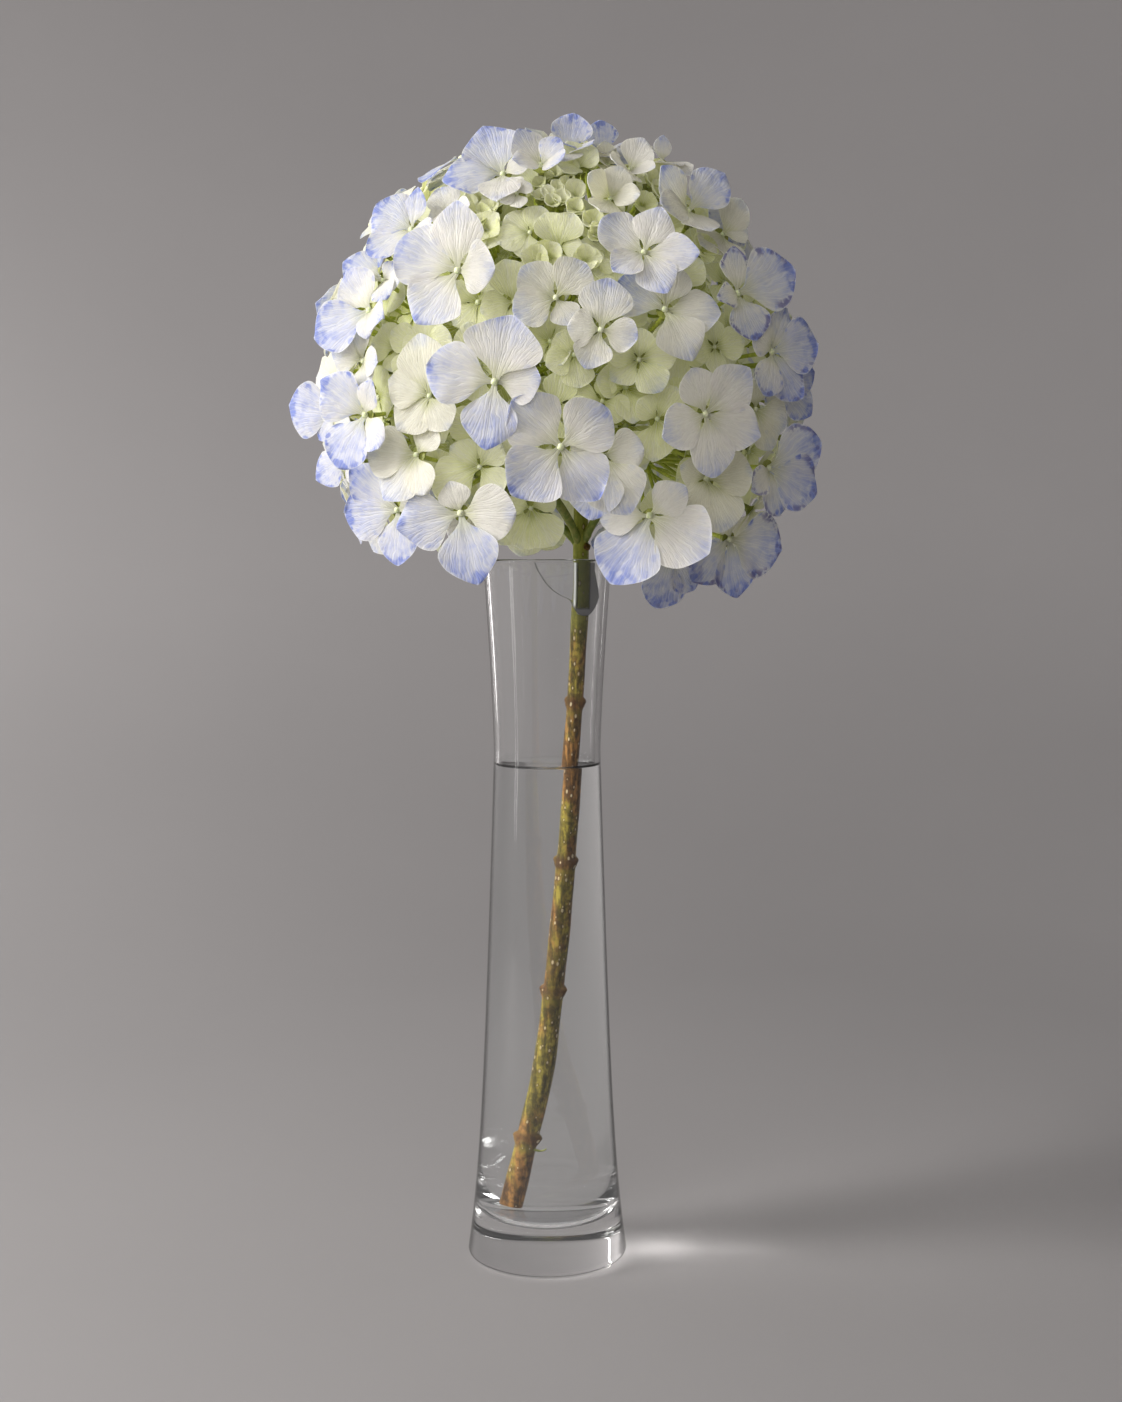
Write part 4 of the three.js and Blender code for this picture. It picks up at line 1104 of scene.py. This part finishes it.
TOWARDS_EYE = unit(EYE - HEAD_CENTRE)


def seen_tip(middle, normal, length, stand, px, py):
    """The place of a sepal's tip along the line of sight through its pixel: about a sepal's
    length from the middle, and about the given angle above the floret's plane."""
    look = sight(px, py)
    nearest = (middle - EYE) @ look
    reach = np.linspace(-TIP_SEARCH, TIP_SEARCH, TIP_STEPS)
    places = EYE + look * (nearest + reach[:, None] * length)
    off = places - middle
    far = np.linalg.norm(off, axis=1)
    rise = np.arcsin(np.clip(off @ normal / far, -1, 1))
    miss = (.8 * (far / length - 1)) ** 2 + (rise - math.radians(stand)) ** 2
    return places[np.argmin(miss)]


def make_seen_florets():
    for seed, (name, (px, py), length, reach, stand, cream, spots, sepals) in enumerate(SEEN):
        towards = seen_direction(px, py, reach)
        middle = HEAD_CENTRE + towards * reach
        sideways = 1 - max(towards @ TOWARDS_EYE, 0)
        normal = unit(towards + TOWARDS_EYE * (.15 + .5 * sideways)
                      + UP * .8 * max(-towards[2], 0) + np.array(LEANS.get(name, (0, 0, 0))))
        tips = [seen_tip(middle, normal, length, stand, x, y) for x, y, _, _ in sepals]
        paints = [(cream, blue, spots) for *_, blue in sepals]
        broads = [broad for _, _, broad, _ in sepals]
        replaces = [name] if name.startswith("floret") else []
        make_floret(f"bloom_{name}", middle, normal, tips, length, paints, broads, seed,
                    replaces=replaces, cream=cream)


def spread_over_ball(count, spacing, taken, steps=SPIRAL_STEPS):
    """Directions tried along a spiral over the ball, each kept if it lies far enough from the
    taken ones and from those kept before. The number along the spiral comes with each."""
    lowest = -math.cos(math.radians(OPEN_BELOW))
    closest = math.cos(math.radians(spacing))
    kept = []
    for i in range(steps):
        if len(kept) == count:
            break
        z = 1 - (1 - lowest) * (i + .5) / steps
        flat, around = math.sqrt(1 - z * z), i * GOLDEN_ANGLE
        towards = np.array([flat * math.cos(around), flat * math.sin(around), z])
        if all(towards @ other < closest for other in [*taken, *(k for k, _ in kept)]):
            kept.append((towards, i))
    return kept


def rosette(towards, reach, length, spin, count, stand, rng):
    """The middle, facing and sepal tips of a floret that the view doesn't show."""
    middle = HEAD_CENTRE + towards * reach
    normal = unit(towards + rng.normal(0, FACING_SPREAD, 3))
    across = unit(np.cross(UP, normal)) if abs(normal[2]) < .99 else np.array([1.0, 0, 0])
    along = np.cross(normal, across)
    tips = []
    for k in range(count):
        angle = math.radians(spin) + k * 2 * math.pi / count + rng.normal(0, TURN_SPREAD)
        rise = math.radians(stand) + rng.normal(0, RISE_SPREAD)
        flat = across * math.cos(angle) + along * math.sin(angle)
        reach_out = length * rng.uniform(.86, 1.04)
        tips.append(middle + (flat * math.cos(rise) + normal * math.sin(rise)) * reach_out)
    return middle, normal, tips


def make_hidden_florets():
    """The large florets of the sides and the back. Gives back where all large florets lie."""
    seen = [seen_direction(px, py, OUTER_REACH)
            for name, (px, py), *_ in SEEN if name.startswith("floret") and name < "floret_28"]
    hidden = spread_over_ball(HIDDEN_COUNT, HIDDEN_SPACING, seen)
    for k, (towards, i) in enumerate(hidden):
        rng = np.random.default_rng(HIDDEN_SEED + k)
        edge_on = 1 - abs(towards @ TOWARDS_EYE)
        middle, normal, tips = rosette(
            towards, HIDDEN_REACH, HIDDEN_RADIUS, i * HIDDEN_SPIN, 4, -4 - 22 * edge_on, rng)
        paints = [(rng.uniform(.08, .25), rng.uniform(.3, 1), rng.uniform(0, .5)) for _ in tips]
        name = f"floret_{28 + k}"
        make_floret(f"bloom_{name}", middle, normal, tips, HIDDEN_RADIUS, paints,
                    rng.uniform(.98, 1.15, len(tips)), HIDDEN_SEPAL_SEED + k, replaces=[name])
    return seen + [towards for towards, _ in hidden]


def seen_at(point):
    """The pixel at which a point is seen."""
    off = point - EYE
    ahead = off[1] * math.cos(PITCH) - off[2] * math.sin(PITCH)
    above = off[1] * math.sin(PITCH) + off[2] * math.cos(PITCH)
    return PICTURE_WIDTH / 2 + FOCAL * off[0] / ahead, PICTURE_HEIGHT / 2 - FOCAL * above / ahead


def hides_fork(towards, reach, length):
    """Whether a floret would stand before the fork of the stem, which the view shows."""
    px, py = seen_at(HEAD_CENTRE + towards * reach)
    margin = length * 2.6
    left, right, top = FORK_WINDOW
    return left - margin < px < right + margin and py > top - margin and towards[1] < .3


def make_filling(label, reach, length, spacing, count, cream, taken, seed, blue=.05):
    """Small florets that fill the head between and behind the large ones, in one piece for
    each ray that carries them."""
    shapes = {}
    for k, (towards, i) in enumerate(spread_over_ball(count, spacing, taken, FILLING_STEPS)):
        if hides_fork(towards, reach, length):
            continue
        rng = np.random.default_rng(seed + k)
        away = float(np.clip(.45 - 1.6 * towards @ TOWARDS_EYE, 0, 1))
        size = length * (1 + HIDDEN_GROWTH * away) * rng.uniform(.85, 1.15)
        sepals = 5 if rng.random() < FIVE_SEPALS_SHARE else 4
        middle, normal, tips = rosette(
            towards, reach * rng.uniform(.97, 1.03), size, i * FILLING_SPIN, sepals, 12, rng)
        ray = int(np.argmax(RAYS @ towards))
        shape = shapes.setdefault(ray, Shape())
        for tip in tips:
            paint = (max(cream * (1 - .5 * away) + rng.normal(0, .12), 0),
                     blue * (1 + away) * rng.uniform(0, 2), 0)
            add_sepal(shape, middle, tip, normal, size, rng.uniform(1, 1.15), paint, rng, COARSE)
        add_bead(shape, middle, normal, size * .062 + .3)
        add_stalk(shape, middle, normal, 6, 1.6)
    slot, materials = floret_finish(cream)
    for ray, shape in shapes.items():
        shape.make(f"{label}_{ray + 1:02d}", materials, slot, sharp=FLORET_SHARP)


def make_buds():
    shape = Shape()
    for seed, (px, py, length, stand, cream) in enumerate(BUDS_SEEN):
        rng = np.random.default_rng(BUD_SEED + seed)
        towards = unit(seen_direction(px, py, BUD_REACH) + TOWARDS_EYE * .35)
        middle, normal, tips = rosette(towards, BUD_REACH, length, seed * 40, 4, stand, rng)
        middle = HEAD_CENTRE + seen_direction(px, py, BUD_REACH) * BUD_REACH
        tips = [tip - HEAD_CENTRE - towards * BUD_REACH + middle for tip in tips]
        for k, tip in enumerate(tips):
            add_sepal(shape, middle, tip, normal, length, rng.uniform(1.15, 1.35),
                      (cream * rng.uniform(.8, 1.2), 0, 0), rng, MIDDLING, SEPAL_LEVELS[k],
                      BUD_CURL)
        add_bead(shape, middle, normal, .6)
        add_stalk(shape, middle, normal, 6, 1.2)
    shape.make("crown_buds", [CREAM_SEPAL, BUD_GREEN, STALK_GREEN, CUP_GREEN], "floret_cream",
               sharp=FLORET_SHARP)


make_vase()
make_water()
make_held_water()
make_stem()
make_rays()
make_seen_florets()
outer = make_hidden_florets()
make_filling("side_florets", reach=82, length=14, spacing=17, count=60, cream=.4, taken=outer,
             seed=1000, blue=.3)
make_filling("inner_florets", reach=77, length=12, spacing=14.5, count=120, cream=.95, taken=[],
             seed=2000)
make_filling("deep_florets", reach=62, length=12, spacing=17, count=90, cream=1.8, taken=[],
             seed=3000)
make_buds()

# ---- Stage, light and camera

STAGE_FLOOR, STAGE_BEND, STAGE_WALL = 0.5, 1.1, 3.0      # metres
STAGE_SIDES = 96
STAGE_DROP = 0.0003          # keeps the floor clear of the glass that stands on it
STAGE_DARK, STAGE_PALE = colour(.299, .287, .289), colour(.319, .306, .308)
SENSOR_HEIGHT = 36
DAYLIGHT = (1.0, .98, .955)
HEAD_LEVEL, VASE_LEVEL = (0, 0, .28), (0, 0, .2)
UNSEEN_IN_GLASS = ("glossy", "transmission")
# Name, place, aim, width and height, power, and the kinds of ray that don't see it. The gleams
# are the light that the foot of the vase throws to its right.
LAMPS = [
    ("window", (-1.18, -.36, .98), HEAD_LEVEL, (.66, .82), 27, ()),
    ("low_window", (-.64, -.24, .32), HEAD_LEVEL, (.09, .5), 1.7, UNSEEN_IN_GLASS),
    ("glass_glint", (-.60, -.225, .32), HEAD_LEVEL, (.055, .45), .19, ()),
    ("back_strip_left", (-.56, .66, .30), VASE_LEVEL, (.03, .4), .16, ()),
    ("back_strip_right", (.62, .62, .42), VASE_LEVEL, (.03, .6), .25, ("transmission",)),
    ("front_fill", (-.28, -1.05, .62), HEAD_LEVEL, (.9, .5), 4.2, UNSEEN_IN_GLASS),
    ("wall_wash", (-.95, .55, .62), (-.45, 1.55, .3), (.25, .35), 4.6, ()),
    ("gleam", (.043, .004, .010), (.043, .004, 0), (.022, .010), .0024, UNSEEN_IN_GLASS),
    ("gleam", (.064, .004, .010), (.064, .004, 0), (.05, .010), .0014, UNSEEN_IN_GLASS),
]
SKY, SKY_STRENGTH = colour(.96, .97, 1.0), .30


def make_stage():
    """A round pale floor that curves up into a wall all round."""
    material, n = new_material("studio floor")
    place = n.own_place()
    # Darker towards the floor: 0.84 of the colour there, rising to full 0.3 m up the wall.
    low = n.ramp(n.split(place)[2], .0, .3, .84, 1.0)
    paint = n.mix(n.noise(place, 5.0, 3.0), STAGE_DARK, STAGE_PALE)
    paint = n.mix(1.0, paint, n.join(low, low, low), "MULTIPLY")
    n.finish(n.new("BsdfPrincipled", Base_Color=paint, Roughness=.85))
    bend = arc(STAGE_FLOOR, STAGE_BEND, STAGE_BEND, -90, 0, 24)
    profile = np.concatenate([[[.05, 0], [.25, 0]], bend,
                              [[STAGE_FLOOR + STAGE_BEND, STAGE_WALL]]])
    faces = [face[::-1] for face in ring_faces(len(profile), STAGE_SIDES, False)]
    faces.append(tuple(range(STAGE_SIDES)))
    mesh = bpy.data.meshes.new("studio_floor")
    mesh.from_pydata(turned_points(profile, STAGE_SIDES).tolist(), [], faces)
    mesh.polygons.foreach_set("use_smooth", [True] * len(faces))
    mesh.materials.append(material)
    floor = add_to_scene("studio_floor", mesh)
    floor.location.z = -STAGE_DROP


def make_lamp(name, place, aim, size, power):
    """A flat oval lamp of the given width and height."""
    lamp = bpy.data.lights.new(name, "AREA")
    lamp.shape, lamp.energy, lamp.color = "ELLIPSE", power, DAYLIGHT
    lamp.size, lamp.size_y = size
    holder = add_to_scene(name, lamp)
    holder.location = place
    holder.visible_camera = False
    holder.rotation_euler = (Vector(aim) - Vector(place)).to_track_quat("-Z", "Y").to_euler()
    return holder


def make_light():
    for name, place, aim, size, power, unseen_by in LAMPS:
        lamp = make_lamp(name, place, aim, size, power)
        for kind in unseen_by:
            setattr(lamp, f"visible_{kind}", False)
    world = bpy.data.worlds.new("studio")
    bpy.context.scene.world = world
    world.use_nodes = True
    background = world.node_tree.nodes["Background"]
    background.inputs["Color"].default_value = SKY
    background.inputs["Strength"].default_value = SKY_STRENGTH
    bpy.context.scene.view_settings.view_transform = "Standard"


def make_camera():
    camera = bpy.data.cameras.new("camera")
    camera.sensor_fit = "VERTICAL"
    camera.sensor_height = SENSOR_HEIGHT
    camera.lens = SENSOR_HEIGHT * FOCAL / PICTURE_HEIGHT
    holder = add_to_scene("camera", camera)
    holder.location = EYE * MM
    holder.rotation_euler = (math.pi / 2 - PITCH, 0, 0)
    bpy.context.scene.camera = holder


make_stage()
make_light()
make_camera()
